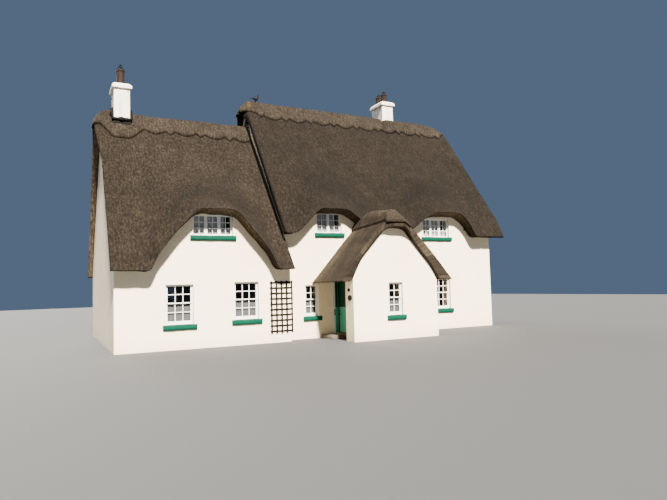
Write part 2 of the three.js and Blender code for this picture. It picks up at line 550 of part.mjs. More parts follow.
// Half door: two leaves hung on the near jamb, opening inwards
const LEAF = { thick: 45, outer: 8600, y0: -378, y1: 422, split: 1190, top: 2262, gap: 8 };
const JAMB = { x0: 8580, x1: 8645, near: LEAF.y0 - LEAF.gap, far: LEAF.y1 + LEAF.gap };
const HINGE = { x: LEAF.outer + LEAF.thick + 12, y: JAMB.near + 4, r: 11, eye: 50, seat: 30, strap: 160 };
let frame = block(JAMB.x0, JAMB.x1, DOOR.y0 + GAP, DOOR.y1 - GAP, FLOOR_TOP + GAP, DOOR.head)
  .subtract(block(8000, 9000, JAMB.near, JAMB.far, 0, LEAF.top + LEAF.gap));
const leafInner = LEAF.outer + LEAF.thick;
const leaves = [
  { name: 'door_lower_leaf', z0: FLOOR_TOP + 10, z1: LEAF.split },
  { name: 'door_upper_leaf', z0: LEAF.split + 8, z1: LEAF.top },
];
leaves.forEach((l) => {
  let leaf = block(LEAF.outer, leafInner, LEAF.y0, LEAF.y1, l.z0, l.z1);
  [l.z0 + 150, l.z1 - 200].forEach((z) => {
    const below = z - GAP;
    leaf = leaf.add(drum(HINGE.x, HINGE.y, z, z + HINGE.eye, HINGE.r, 12))
      .add(block(leafInner - 1, leafInner + 6, HINGE.y, LEAF.y0 + HINGE.strap, z, z + HINGE.eye));
    frame = frame.add(drum(HINGE.x, HINGE.y, below - HINGE.seat, below, HINGE.r, 12))
      .add(block(leafInner - 1, leafInner + 6, JAMB.near - 50, HINGE.y - 2, below - HINGE.seat, below));
  });
  piece(l.name, leaf, 'green_paint');
});
piece('door_frame', frame, 'white_timber');
piece('door_step', block(7820, PORCH.doorX - GAP, -420, 480, 0, 150), 'step_stone');

// Trellis on the left wing's front wall by its right corner, bars fused where they cross
const TRELLIS = { x0: 5480, x1: 6280, z0: 340, z1: 2300, bar: 26, horn: 60 };
let trellis = block(TRELLIS.x0, TRELLIS.x0 + TRELLIS.bar, -44, -19, TRELLIS.z0, TRELLIS.z1);
for (let i = 1; i < 5; i += 1) {
  const x = TRELLIS.x0 + ((TRELLIS.x1 - TRELLIS.x0 - TRELLIS.bar) * i) / 4;
  trellis = trellis.add(block(x, x + TRELLIS.bar, -44, -19, TRELLIS.z0, TRELLIS.z1));
}
for (let i = 0; i < 10; i += 1) {
  const z = TRELLIS.z0 + TRELLIS.horn + ((TRELLIS.z1 - TRELLIS.z0 - TRELLIS.bar - 2 * TRELLIS.horn) * i) / 9;
  trellis = trellis.add(block(TRELLIS.x0 - 15, TRELLIS.x1 + 15, -25, -GAP, z, z + TRELLIS.bar));
}
piece('trellis', trellis, 'dark_timber');

export default house;
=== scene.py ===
import bmesh
import bpy
import numpy as np
from mathutils import Matrix


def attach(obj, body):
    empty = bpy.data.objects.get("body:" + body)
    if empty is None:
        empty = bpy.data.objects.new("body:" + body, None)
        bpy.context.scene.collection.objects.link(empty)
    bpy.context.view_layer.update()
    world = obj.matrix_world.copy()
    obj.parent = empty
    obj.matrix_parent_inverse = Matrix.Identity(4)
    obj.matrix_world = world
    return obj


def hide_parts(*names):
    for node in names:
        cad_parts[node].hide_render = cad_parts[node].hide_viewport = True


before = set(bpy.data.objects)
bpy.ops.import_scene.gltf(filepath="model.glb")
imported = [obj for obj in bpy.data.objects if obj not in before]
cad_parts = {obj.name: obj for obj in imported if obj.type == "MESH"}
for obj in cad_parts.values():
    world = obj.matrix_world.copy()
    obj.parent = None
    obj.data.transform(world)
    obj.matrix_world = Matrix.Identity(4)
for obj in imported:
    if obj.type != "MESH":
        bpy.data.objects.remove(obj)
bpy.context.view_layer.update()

# The view
# The photograph looks at the front from the left, at a standing adult's eye height, slightly upwards.
# Places in this script are in metres from the left wing's front left corner, as the masons set it out.
SITE = np.array([-8.5, -4.75, 0.0])
CAMERA_PLACE = (-10.487, -24.546, 2.10)
CAMERA_TURN = -27.20
CAMERA_TILT = 3.54
CAMERA_ROLL = -1.55

camera_data = bpy.data.cameras.new("camera")
camera_data.sensor_width = 36.0
camera_data.lens = 30.25
camera_data.clip_end = 400.0
camera = bpy.data.objects.new("camera", camera_data)
bpy.context.scene.collection.objects.link(camera)
camera.matrix_world = (
    Matrix.Translation(CAMERA_PLACE)
    @ Matrix.Rotation(np.radians(CAMERA_TURN), 4, "Z")
    @ Matrix.Rotation(np.radians(90 + CAMERA_TILT), 4, "X")
    @ Matrix.Rotation(np.radians(CAMERA_ROLL), 4, "Z")
)
bpy.context.scene.camera = camera


# The floor
# A plain pale sheet under and round the house, in a room of soft blue light. Daylight comes from the front
# left, and a wide soft light from behind shows the back.
def put(tree, kind, props=None, **sockets):
    """Adds a shader node; a socket is given by its name, or as i and its number, with a value or a link."""
    node = tree.nodes.new("ShaderNode" + kind)
    for key, value in (props or {}).items():
        setattr(node, key, value)
    for key, value in sockets.items():
        numbered = key[0] == "i" and key[1:].isdigit()
        socket = node.inputs[int(key[1:]) if numbered else key.replace("_", " ")]
        if isinstance(value, bpy.types.NodeSocket):
            tree.links.new(value, socket)
        else:
            socket.default_value = value
    return node


def finish_of(name, roughness, **fixed):
    """A new material with its principled shader ready; fixed values are set on the shader's own sockets."""
    material = bpy.data.materials.new(name)
    material.use_nodes = True
    tree = material.node_tree
    shader = tree.nodes["Principled BSDF"]
    shader.inputs["Roughness"].default_value = roughness
    for key, value in fixed.items():
        shader.inputs[key.replace("_", " ")].default_value = value
    return material, tree, shader


def add_piece(name, points, faces, material, smooth=True, uv=None, marks=None):
    """Makes a mesh piece from points [n, 3] in metres on the site and faces, each a list of point numbers.
    uv is the run of the surface in metres, and marks are named values, one for each point."""
    mesh = bpy.data.meshes.new(name)
    mesh.from_pydata((np.asarray(points, float) + SITE).tolist(), [], faces)
    mesh.materials.append(material)
    if uv is not None:
        layer = mesh.uv_layers.new(name="run")
        corners = np.empty(len(mesh.loops), np.int32)
        mesh.loops.foreach_get("vertex_index", corners)
        layer.data.foreach_set("uv", np.asarray(uv, np.float32)[corners].ravel())
    for label, values in (marks or {}).items():
        mark = mesh.attributes.new(label, "FLOAT", "POINT")
        mark.data.foreach_set("value", np.asarray(values, np.float32).ravel())
    if smooth:
        mesh.shade_smooth()
    mesh.update()
    piece = bpy.data.objects.new(name, mesh)
    bpy.context.scene.collection.objects.link(piece)
    return piece


def grid_faces(rows, cols, wrap_cols=False):
    """Quads of a grid of points [rows, cols], each row joined round to its start where wrap_cols says so."""
    number = np.arange(rows * cols).reshape(rows, cols)
    if wrap_cols:
        number = np.hstack([number, number[:, :1]])
    quads = np.stack([number[:-1, :-1], number[:-1, 1:], number[1:, 1:], number[1:, :-1]], axis=-1)
    return quads.reshape(-1, 4).tolist()


def sun(name, energy, spread, colour, tilt, turn):
    """A sun lamp; the width of its light, its tilt off the plumb line and its turn are in degrees."""
    light = bpy.data.lights.new(name, "SUN")
    light.energy = energy
    light.angle = np.radians(spread)
    light.color = colour
    lamp = bpy.data.objects.new(name, light)
    bpy.context.scene.collection.objects.link(lamp)
    lamp.rotation_euler = (np.radians(tilt), 0, np.radians(turn))


FLOOR_REACH = 60.0
floor_paint, tree, shader = finish_of("floor_paint", 0.9)
shader.inputs["Base Color"].default_value = (0.044, 0.046, 0.049, 1)
floor_corners = FLOOR_REACH * np.array([(-1, -1, 0), (1, -1, 0), (1, 1, 0), (-1, 1, 0)])
stage_floor = add_piece("stage_floor", floor_corners, [[0, 1, 2, 3]], floor_paint)

room = bpy.data.worlds.new("room")
room.use_nodes = True
backdrop = room.node_tree.nodes["Background"]
backdrop.inputs["Color"].default_value = (0.42, 0.63, 1.0, 1)
backdrop.inputs["Strength"].default_value = 0.22
bpy.context.scene.world = room

sun("daylight", 31.0, 4, (1.0, 0.92, 0.81), 45, -6)
sun("back_light", 6.0, 40, (1.0, 0.94, 0.86), -62, 8)


# Limewashed walls
# Rubble stone walls half a metre thick, rendered by hand and coated each year with cream-white limewash.
# The coat is slightly uneven and greyer low down where rain splashes, and on faces turned to the left it is
# painted darker in patches, as painted shade.
def new_group(name, inputs, outputs):
    """A shader node group with named inputs (name, kind, value) and outputs (name, kind)."""
    group = bpy.data.node_groups.new(name, "ShaderNodeTree")
    for label, kind, value in inputs:
        socket = group.interface.new_socket(name=label, in_out="INPUT", socket_type="NodeSocket" + kind)
        if value is not None:
            socket.default_value = value
    for label, kind in outputs:
        group.interface.new_socket(name=label, in_out="OUTPUT", socket_type="NodeSocket" + kind)
    return group, group.nodes.new("NodeGroupInput"), group.nodes.new("NodeGroupOutput")


def ramp(tree, factor, stops):
    """A colour ramp; stops are (place, (red, green, blue))."""
    node = tree.nodes.new("ShaderNodeValToRGB")
    tree.links.new(factor, node.inputs[0])
    elements = node.color_ramp.elements
    while len(elements) < len(stops):
        elements.new(0.5)
    for element, (place, colour) in zip(elements, stops):
        element.position = place
        element.color = (*colour, 1)
    return node.outputs[0]


def mixed(tree, factor, first, second, way="MIX"):
    """Blends two colours by a factor and returns the colour."""
    node = put(tree, "Mix", {"data_type": "RGBA", "blend_type": way}, i0=factor)
    for index, colour in ((6, first), (7, second)):
        if isinstance(colour, bpy.types.NodeSocket):
            tree.links.new(colour, node.inputs[index])
        else:
            node.inputs[index].default_value = (*colour, 1)
    return node.outputs[2]


def span(tree, value, low, high, to_low, to_high):
    """Maps a value from one range to another, held at both ends."""
    return put(tree, "MapRange", Value=value, From_Min=low, From_Max=high, To_Min=to_low,
               To_Max=to_high).outputs[0]


def sums(tree, first, times, plus):
    """first x times + plus, for one number."""
    return put(tree, "Math", {"operation": "MULTIPLY_ADD"}, i0=first, i1=times, i2=plus).outputs[0]


def raised(tree, shader, height, strength, distance):
    """Feeds a height through a bump into the shader's normal."""
    bump = put(tree, "Bump", Strength=strength, Distance=distance, Height=height)
    tree.links.new(bump.outputs[0], shader.inputs["Normal"])


weather, start, end = new_group(
    "weather",
    [("Vector", "Vector", None), ("Broad Scale", "Float", 0.6), ("Fine Scale", "Float", 20.0)],
    [("Broad", "Float"), ("Fine", "Float"), ("Grain", "Float")],
)
broad = put(weather, "TexNoise", Vector=start.outputs[0], Scale=start.outputs[1], Detail=4.0, Roughness=0.6)
fine = put(weather, "TexNoise", Vector=start.outputs[0], Scale=start.outputs[2], Detail=5.0, Roughness=0.65)
tight = sums(weather, start.outputs[2], 5.0, 0.0)
grain = put(weather, "TexNoise", Vector=start.outputs[0], Scale=tight, Detail=3.0, Roughness=0.7)
for index, node in enumerate((broad, fine, grain)):
    weather.links.new(node.outputs["Fac"], end.inputs[index])


def weathered(tree, broad_scale, fine_scale):
    """The weather group, read at the piece's own place."""
    place = put(tree, "TexCoord").outputs["Object"]
    return put(tree, "Group", {"node_tree": weather}, Vector=place, Broad_Scale=broad_scale,
               Fine_Scale=fine_scale)


def coloured(tree, shader, colour):
    """Feeds a colour into the shader."""
    tree.links.new(colour, shader.inputs["Base Color"])


def left_face_painted_shade(tree, patches, low, high, most):
    """How much painted shade darkens a coat on faces turned to the left, which the daylight only grazes:
    patches over low to high, times how far the face turns left."""
    turned = put(tree, "SeparateXYZ", Vector=put(tree, "TexCoord").outputs["Normal"]).outputs[0]
    left = span(tree, turned, -0.9, -0.4, 1.0, 0.0)
    return sums(tree, left, span(tree, patches, low, high, 0.0, most), 0.0)


limewash, tree, shader = finish_of("limewash", 0.92)
wash = weathered(tree, 0.55, 9.0)
coat = ramp(tree, wash.outputs["Broad"], [(0.32, (0.93, 0.78, 0.54)), (0.62, (0.97, 0.85, 0.62))])
speck = ramp(tree, wash.outputs["Fine"], [(0.3, (0.88, 0.87, 0.85)), (0.6, (1, 1, 1))])
coat = mixed(tree, 0.6, coat, speck, "MULTIPLY")
height = put(tree, "SeparateXYZ", Vector=put(tree, "TexCoord").outputs["Object"]).outputs[2]
splash = sums(tree, span(tree, height, 0.0, 0.5, 0.6, 0.0), wash.outputs["Fine"], 0.0)
coat = mixed(tree, splash, coat, (0.40, 0.36, 0.30))
# Painted shade: grey patches on faces turned to the left
coat = mixed(tree, left_face_painted_shade(tree, wash.outputs["Fine"], 0.36, 0.72, 0.62), coat, (0.46, 0.42, 0.36))
coloured(tree, shader, coat)
raised(tree, shader, sums(tree, wash.outputs["Broad"], 2.0, wash.outputs["Fine"]), 0.5, 0.02)

WALL_NODES = ["left_gable_wall", "left_front_wall", "left_back_wall", "main_left_gable_wall",
              "main_right_gable_wall", "main_front_wall", "main_back_wall", "porch_front_wall",
              "porch_right_wall", "porch_door_side_wall", "porch_door_head_wall"]


def dress(names, material):
    """Gives CAD nodes that keep their shape a material."""
    for name in names:
        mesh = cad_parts[name].data
        mesh.materials.clear()
        mesh.materials.append(material)


dress(WALL_NODES, limewash)


# Chimney stacks
# Two square stacks of rendered masonry in the same limewash, with a projecting cap whose top slopes to
# the pots. Rain and soot have left grey streaks on them, and their faces turned to the left are painted
# darker in patches, as painted shade.
sooty_wash, tree, shader = finish_of("sooty_limewash", 0.92)
wash = weathered(tree, 1.1, 9.0)
drawn_out = put(tree, "Mapping", Vector=put(tree, "TexCoord").outputs["Object"], Scale=(5.0, 5.0, 0.8))
streaks = put(tree, "TexNoise", Vector=drawn_out.outputs[0], Scale=1.0, Detail=5.0, Roughness=0.6)
coat = ramp(tree, wash.outputs["Fine"], [(0.3, (0.76, 0.70, 0.60)), (0.6, (0.88, 0.82, 0.71))])
soot = span(tree, streaks.outputs["Fac"], 0.52, 0.70, 0.0, 0.55)
coat = mixed(tree, soot, coat, (0.30, 0.28, 0.25))
# Painted shade: darker grey patches on faces turned to the left
coat = mixed(tree, left_face_painted_shade(tree, wash.outputs["Broad"], 0.35, 0.75, 0.62), coat, (0.34, 0.325, 0.295))
coloured(tree, shader, coat)
raised(tree, shader, sums(tree, wash.outputs["Broad"], 2.0, wash.outputs["Fine"]), 0.6, 0.015)
dress(["chimney_stack_left", "chimney_stack_right"], sooty_wash)


# Floors
# A ground slab in each block and boards upstairs, seen only through the panes and the door.
slab_stone, tree, shader = finish_of("slab_stone", 0.85)
worn = weathered(tree, 0.9, 14.0)
flags = put(tree, "TexBrick", {"offset": 0.5}, Vector=put(tree, "TexCoord").outputs["Object"],
            Color1=(0.075, 0.066, 0.054, 1), Color2=(0.10, 0.088, 0.072, 1), Mortar=(0.04, 0.037, 0.032, 1),
            Scale=1.0, Mortar_Size=0.008, Brick_Width=0.62, Row_Height=0.45)
trodden = ramp(tree, worn.outputs["Fine"], [(0.3, (0.6, 0.6, 0.6)), (0.7, (1.2, 1.2, 1.2))])
coloured(tree, shader, mixed(tree, 0.5, flags.outputs[0], trodden, "MULTIPLY"))
raised(tree, shader, worn.outputs["Fine"], 0.3, 0.004)
dress(["left_ground_floor", "main_ground_floor"], slab_stone)

floor_pine, tree, shader = finish_of("floor_pine", 0.6)
place = put(tree, "TexCoord").outputs["Object"]
boards = put(tree, "TexBrick", {"offset": 0.37}, Vector=place, Color1=(0.23, 0.15, 0.085, 1),
             Color2=(0.30, 0.20, 0.12, 1), Mortar=(0.04, 0.03, 0.02, 1), Scale=1.0, Mortar_Size=0.003,
             Brick_Width=2.4, Row_Height=0.16)
along = put(tree, "Mapping", Vector=place, Scale=(1.5, 30.0, 30.0))
figure = put(tree, "TexNoise", Vector=along.outputs[0], Scale=1.0, Detail=4.0).outputs["Fac"]
wood_rings = ramp(tree, figure, [(0.3, (0.6, 0.55, 0.5)), (0.7, (1.2, 1.15, 1.1))])
coloured(tree, shader, mixed(tree, 0.6, boards.outputs[0], wood_rings, "MULTIPLY"))
raised(tree, shader, figure, 0.2, 0.002)
dress(["left_upper_floor", "main_upper_floor"], floor_pine)


# Windows
# White painted timber: vertical sliding sashes downstairs and side-hung casements upstairs, each set
# 0.1 m behind the wall's face. Every light is a jointed frame of stiles and rails with slim glazing bars.
def brushed_paint(name, colour, worn_colour, roughness, shine=0.5):
    """Brushed oil paint: the tone drifts a little, dirt gathers in patches, and brush marks stand up."""
    material, tree, shader = finish_of(name, roughness, Specular_IOR_Level=shine)
    marks = weathered(tree, 2.2, 26.0)
    tone = ramp(tree, marks.outputs["Fine"], [(0.25, tuple(c * 0.86 for c in colour)), (0.6, colour)])
    patch = span(tree, marks.outputs["Broad"], 0.5, 0.72, 0.0, 0.5)
    coloured(tree, shader, mixed(tree, patch, tone, worn_colour))
    tree.links.new(span(tree, marks.outputs["Fine"], 0.3, 0.7, roughness - 0.08, roughness + 0.12),
                   shader.inputs["Roughness"])
    raised(tree, shader, sums(tree, marks.outputs["Grain"], 0.5, marks.outputs["Fine"]), 0.25, 0.003)
    return material


white_paint = brushed_paint("white_paint", (0.86, 0.85, 0.82), (0.70, 0.69, 0.65), 0.42)

# The eight corners of a timber by their signs along x, y and z
CORNERS = np.array([(x, y, z) for x in (-1, 1) for y in (-1, 1) for z in (-1, 1)], float)


def timber_faces():
    """Faces of one timber, corner by corner and axis by axis: six sides, twelve bevels, eight corner cuts."""
    faces = []
    for axis in range(3):
        others = [a for a in range(3) if a != axis]
        for sign in (-1, 1):
            ring = [(-1, -1), (1, -1), (1, 1), (-1, 1)]
            faces.append([corner_number({axis: sign, others[0]: u, others[1]: v}) * 3 + axis
                          for u, v in ring])
        for u in (-1, 1):
            for v in (-1, 1):
                low = corner_number({axis: -1, others[0]: u, others[1]: v}) * 3
                high = corner_number({axis: 1, others[0]: u, others[1]: v}) * 3
                faces.append([low + others[0], high + others[0], high + others[1], low + others[1]])
    faces += [[corner * 3, corner * 3 + 1, corner * 3 + 2] for corner in range(8)]
    points = timber_points(np.array([[-1.0, 1.0, -1.0, 1.0, -1.0, 1.0]]), 0.2)[0]
    for index, face in enumerate(faces):
        a, b, c = points[face[0]], points[face[1]], points[face[2]]
        if np.dot(np.cross(b - a, c - b), points[face].mean(axis=0)) < 0:
            faces[index] = face[::-1]
    return faces


def corner_number(signs):
    """Which of the eight corners has these signs."""
    return (signs[0] > 0) * 4 + (signs[1] > 0) * 2 + (signs[2] > 0)


def timber_points(boxes, bevel):
    """Points [n, 24, 3] of straight timbers given as [x0, x1, y0, y1, z0, z1] rows, three to a corner, one
    on each face that meets there: the middle plus the corner's signs times the half size, drawn in by the
    bevel on all axes but one in turn."""
    boxes = np.asarray(boxes, float)
    middle = (boxes[:, 0::2] + boxes[:, 1::2]) / 2
    half = (boxes[:, 1::2] - boxes[:, 0::2]) / 2
    inset = bevel * (1 - np.eye(3))
    cut = np.minimum(inset[None, None], half[:, None, None] * 0.45)
    points = middle[:, None, None] + CORNERS[None, :, None] * (half[:, None, None] - cut)
    return points.reshape(len(boxes), 24, 3)


TIMBER_FACES = np.array([face + face[-1:] * (4 - len(face)) for face in timber_faces()])


def timber_mesh(points):
    """All timbers' points in one list with their faces; the corner cuts are triangles."""
    count = len(points)
    faces = (TIMBER_FACES[None] + 24 * np.arange(count)[:, None, None]).reshape(-1, 4)
    return points.reshape(-1, 3), [face[:3] if face[2] == face[3] else face for face in faces.tolist()]


def timbers(name, boxes, material, bevel):
    """Straight timbers with bevelled edges as one piece."""
    return add_piece(name, *timber_mesh(timber_points(boxes, bevel)), material, smooth=False)


SASH = "sash"
CASEMENT = "casement"
WINDOWS = [
    # node, wall, x0, x1, sill, head, kind, lights across, panes across a light, panes up
    ("window_left_lower_1", "left_front", 1.67, 2.62, 0.86, 2.25, SASH, 1, 3, 4),
    ("window_left_lower_2", "left_front", 4.10, 5.03, 0.92, 2.29, SASH, 1, 3, 4),
    ("window_left_upper", "left_front", 2.63, 4.08, 3.98, 4.74, CASEMENT, 3, 2, 3),
    ("window_main_lower_1", "main_front", 7.14, 7.72, 0.88, 2.11, SASH, 1, 2, 4),
    ("window_main_lower_2", "main_front", 13.49, 14.36, 0.90, 2.25, SASH, 1, 3, 4),
    ("window_main_upper_1", "main_front", 7.72, 8.84, 4.205, 5.04, CASEMENT, 2, 2, 3),
    ("window_main_upper_2", "main_front", 12.96, 14.40, 4.115, 4.94, CASEMENT, 3, 2, 3),
    ("window_porch", "porch_front", 9.48, 10.10, 0.90, 2.13, SASH, 1, 2, 4),
    ("window_back_left_lower", "left_back", 2.90, 3.83, 0.90, 2.27, SASH, 1, 3, 4),
    ("window_back_left_upper", "left_back", 2.63, 4.08, 3.98, 4.74, CASEMENT, 3, 2, 3),
    ("window_back_main_lower_1", "main_back", 7.80, 8.73, 0.90, 2.27, SASH, 1, 3, 4),
    ("window_back_main_lower_2", "main_back", 13.49, 14.42, 0.90, 2.27, SASH, 1, 3, 4),
    ("window_back_main_upper", "main_back", 13.10, 14.54, 4.115, 4.94, CASEMENT, 3, 2, 3),
]
WALL_FACES = {"left_front": (0.0, 1), "main_front": (0.5, 1), "porch_front": (-1.95, 1),
              "left_back": (9.2, -1), "main_back": (9.0, -1)}
RECESS = 0.10
FRAME_DEPTH = 0.09
FRAME_LIP = 0.025
STILE = 0.036
SASH_STILE = 0.052
SASH_FOOT = 0.095
MULLION = 0.05
MEETING_RAIL = 0.042
SASH_BAR = 0.026
CASEMENT_BAR = 0.022
UPPER_SASH_IN = 0.012
LOWER_SASH_IN = 0.048
SASH_THICK = 0.034
CASEMENT_THICK = 0.040
PANE_LAP = 0.006
PANE_HALF = 0.002
CLEAR = 0.001


def light_boxes(x0, x1, z0, z1, front, back, panes, rows, bar, stile=STILE, foot=STILE):
    """One glazed light as boxes [x0, x1, in0, in1, z0, z1]: two stiles, two rails and its crossing bars,
    the upright ones a little prouder. Returns them and its pane."""
    left, right, low, high = x0 + stile, x1 - stile, z0 + foot, z1 - STILE
    boxes = [[x0, left, front, back, z0, z1], [right, x1, front, back, z0, z1],
             [left, right, front, back, z0, low], [left, right, front, back, high, z1]]
    for i in range(1, panes):
        mid = left + (right - left) * i / panes
        boxes.append([mid - bar / 2, mid + bar / 2, front + 0.004, back - 0.004, low, high])
    for i in range(1, rows):
        mid = low + (high - low) * i / rows
        boxes.append([left, right, front + 0.006, back - 0.006, mid - bar / 2, mid + bar / 2])
    centre = (front + back) / 2
    return boxes, [left - PANE_LAP, right + PANE_LAP, centre - PANE_HALF, centre + PANE_HALF,
                   low - PANE_LAP, high + PANE_LAP]


def window_boxes(x0, x1, z0, z1, kind, lights, panes, rows):
    """The fixed frame and all lights of one window, and its sheets of glass, as boxes measured inwards."""
    x0, x1, z1 = x0 + CLEAR, x1 - CLEAR, z1 - CLEAR
    front, back = RECESS, RECESS + FRAME_DEPTH
    left, right, low, high = x0 + FRAME_LIP, x1 - FRAME_LIP, z0 + FRAME_LIP, z1 - FRAME_LIP
    boxes = [[x0, left, front, back, z0, z1], [right, x1, front, back, z0, z1],
             [left, right, front, back, z0, low], [left, right, front, back, high, z1]]
    glass = []
    if kind == SASH:
        middle = (low + SASH_FOOT + high) / 2
        sashes = ((middle - MEETING_RAIL / 2, high, front + UPPER_SASH_IN, STILE),
                  (low, middle + MEETING_RAIL / 2, front + LOWER_SASH_IN, SASH_FOOT))
        for bottom, top, near, foot in sashes:
            more, pane = light_boxes(left, right, bottom, top, near, near + SASH_THICK, panes, rows // 2,
                                     SASH_BAR, SASH_STILE, foot)
            boxes += more
            glass.append(pane)
    else:
        wide = (right - left - MULLION * (lights - 1)) / lights
        near = front + UPPER_SASH_IN
        for i in range(lights):
            start_x = left + i * (wide + MULLION)
            if i:
                boxes.append([start_x - MULLION, start_x, front, back, low, high])
            more, pane = light_boxes(start_x, start_x + wide, low, high, near, near + CASEMENT_THICK, panes,
                                     rows, CASEMENT_BAR)
            boxes += more
            glass.append(pane)
    return np.array(boxes), np.array(glass)


def set_in_wall(boxes, wall):
    """Turns boxes measured inwards from a wall's face into places on the site."""
    face, inward = WALL_FACES[wall]
    boxes = np.array(boxes, float)
    boxes[:, 2:4] = np.sort(face + inward * boxes[:, 2:4], axis=1)
    return boxes


# Window sills
# Deep cast sills that stand out beyond the wall and run on past the window at both ends, painted in a
# turquoise green. Their arrises are worn round, most at the lower front, and the paint is thin.
def soft_block(x0, x1, y0, y1, z0, z1, soft=0.018, stations=26, waver=0.004, worn=None, wear=0.0):
    """A block with soft arrises: a rounded rectangle in y and z, its corners quarter circles of radius
    soft, or of radius wear at the corner with the number worn, carried along x. It is drawn in on a
    quarter circle at both ends, and its faces waver slightly."""
    turn = np.linspace(0, np.pi / 2, 6)
    quarter = np.concatenate([turn + k * np.pi / 2 for k in range(4)])
    quadrant = np.repeat(np.arange(4), 6)
    radius = np.where(quadrant == worn, wear, soft) if worn is not None else np.full(24, soft)
    sign_y = np.where((quadrant == 0) | (quadrant == 3), 1, -1)
    sign_z = np.where(quadrant < 2, 1, -1)
    end_turn = np.linspace(0, np.pi / 2, 5)
    draw = soft * (1 - np.sin(end_turn))
    ends = soft * (1 - np.cos(end_turn))
    x = np.concatenate([x0 + ends[:-1], np.linspace(x0 + soft, x1 - soft, stations), x1 - ends[:-1][::-1]])
    shrink = np.concatenate([draw[:-1], np.zeros(stations), draw[:-1][::-1]])[:, None]
    y = (y0 + y1) / 2 + sign_y * ((y1 - y0) / 2 - radius) + (radius - shrink) * np.cos(quarter)
    z = (z0 + z1) / 2 + sign_z * ((z1 - z0) / 2 - radius) + (radius - shrink) * np.sin(quarter)
    z = z + waver * np.sin(x * 5.3 + y0)[:, None] * (sign_z > 0) + 0.5 * waver * np.sin(x * 13.0)[:, None]
    y = y + waver * np.sin(x * 7.1 + z0)[:, None] * np.sign(y - (y0 + y1) / 2)
    rings = np.stack([np.repeat(x[:, None], 24, axis=1), y, z], axis=-1)
    return closed_skin(rings)


def closed_skin(rings):
    """Rings [n, m, 3] of points joined into one skin, each end closed by a fan to its middle."""
    rows, cols = rings.shape[:2]
    ends = np.stack([rings[0].mean(axis=0), rings[-1].mean(axis=0)])
    points = np.concatenate([rings.reshape(-1, 3), ends])
    faces = grid_faces(rows, cols, wrap_cols=True)
    ring = np.arange(cols)
    following = (ring + 1) % cols
    last = (rows - 1) * cols
    faces += np.stack([following, ring, np.full(cols, rows * cols)], axis=1).tolist()
    faces += np.stack([last + ring, last + following, np.full(cols, rows * cols + 1)], axis=1).tolist()
    return points, faces


def face_out(piece, merge=0.0):
    """Turns every face outwards, each closed shell for itself, and first makes one of points that lie
    closer than merge."""
    work = bmesh.new()
    work.from_mesh(piece.data)
    if merge:
        bmesh.ops.remove_doubles(work, verts=work.verts, dist=merge)
    bmesh.ops.recalc_face_normals(work, faces=work.faces)
    work.to_mesh(piece.data)
    work.free()
    return piece


sill_paint, tree, shader = finish_of("sill_paint", 0.6, Specular_IOR_Level=0.10)
marks = weathered(tree, 3.0, 22.0)
tone = ramp(tree, marks.outputs["Fine"], [(0.28, (0.0003, 0.036, 0.0205)), (0.62, (0.0004, 0.056, 0.033))])
bare = span(tree, marks.outputs["Broad"], 0.60, 0.74, 0.0, 0.35)
coloured(tree, shader, mixed(tree, bare, tone, (0.005, 0.070, 0.045)))
raised(tree, shader, sums(tree, marks.outputs["Broad"], 1.0, marks.outputs["Fine"]), 0.35, 0.006)

SILL_OUT = 0.09
SILL_SIDE = 0.11
SILL_DEEP = 0.23
SILL_THICK = 0.19
SILL_WEAR = 0.075
panes_of = {}
for node, wall, x0, x1, z0, z1, *layout in WINDOWS:
    boxes, glass = window_boxes(x0, x1, z0, z1, *layout)
    lights = timbers(node + "_lights", set_in_wall(boxes, wall), white_paint, bevel=0.005)
    panes_of[node] = set_in_wall(glass, wall)
    face, inward = WALL_FACES[wall]
    sill_y = sorted([face - inward * (SILL_OUT - 0.001), face + inward * (SILL_DEEP - 0.002)])
    block = soft_block(x0 - SILL_SIDE, x1 + SILL_SIDE, *sill_y, z0 - SILL_THICK, z0 - 0.003, wear=SILL_WEAR,
                       worn=2 if inward > 0 else 3)
    sill = face_out(add_piece(node + "_sill", *block, sill_paint))
    for piece in (lights, sill):
        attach(piece, "house")
        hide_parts(node)


# Panes
# Clear drawn glass puttied into each light; daylight passes, and the dark rooms show through the sky's
# reflection. Behind each storey's windows stands one more clear sheet against the wall's inner face.
pane_glass, tree, shader = finish_of("pane_glass", 0.04, Alpha=0.22, IOR=1.45)
drawn_glass = weathered(tree, 1.6, 5.0).outputs["Broad"]
dim = ramp(tree, drawn_glass, [(0.3, (0.0006, 0.0006, 0.0007)), (0.7, (0.0020, 0.0020, 0.0022))])
coloured(tree, shader, dim)
raised(tree, shader, drawn_glass, 0.12, 0.004)
for node, boxes in panes_of.items():
    panes = timbers(node + "_panes", boxes, pane_glass, bevel=0.0005)
    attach(panes, "house")

inner_glass, tree, shader = finish_of("inner_glass", 0.06, Alpha=0.12, IOR=1.5)
drawn_glass = weathered(tree, 1.2, 5.0).outputs["Broad"]
dim = ramp(tree, drawn_glass, [(0.3, (0.0010, 0.0011, 0.0012)), (0.7, (0.0025, 0.0027, 0.003))])
coloured(tree, shader, dim)
dress(["glass_left_lower", "glass_left_upper", "glass_main_lower_1", "glass_main_lower_2",
       "glass_main_upper_1", "glass_main_upper_2", "glass_porch", "glass_back_left_lower",
       "glass_back_left_upper", "glass_back_main_lower", "glass_back_main_upper"], inner_glass)


# Net curtains
# A gathered half curtain of white net in each window, its top hem threaded on a thin brass rod that is
# held between the reveals, and behind it upstairs a long sheer of pale voile on a rod of its own, its blue
# tint a painted reflection of the sky on the panes.
# Each is cut a few hundredths wider than it hangs, for its shallow folds.
def thin_cloth(name, alpha, dark, light):
    """Woven cloth, thin enough to see through a little, with small closer spots in its weave."""
    material, tree, shader = finish_of(name, 0.9, Alpha=alpha, Specular_IOR_Level=0.1)
    weave_run = put(tree, "UVMap", {"uv_map": "run"}).outputs[0]
    spots = put(tree, "TexVoronoi", Vector=weave_run, Scale=30.0)
    coloured(tree, shader, ramp(tree, spots.outputs["Distance"], [(0.15, light), (0.5, dark)]))
    return material


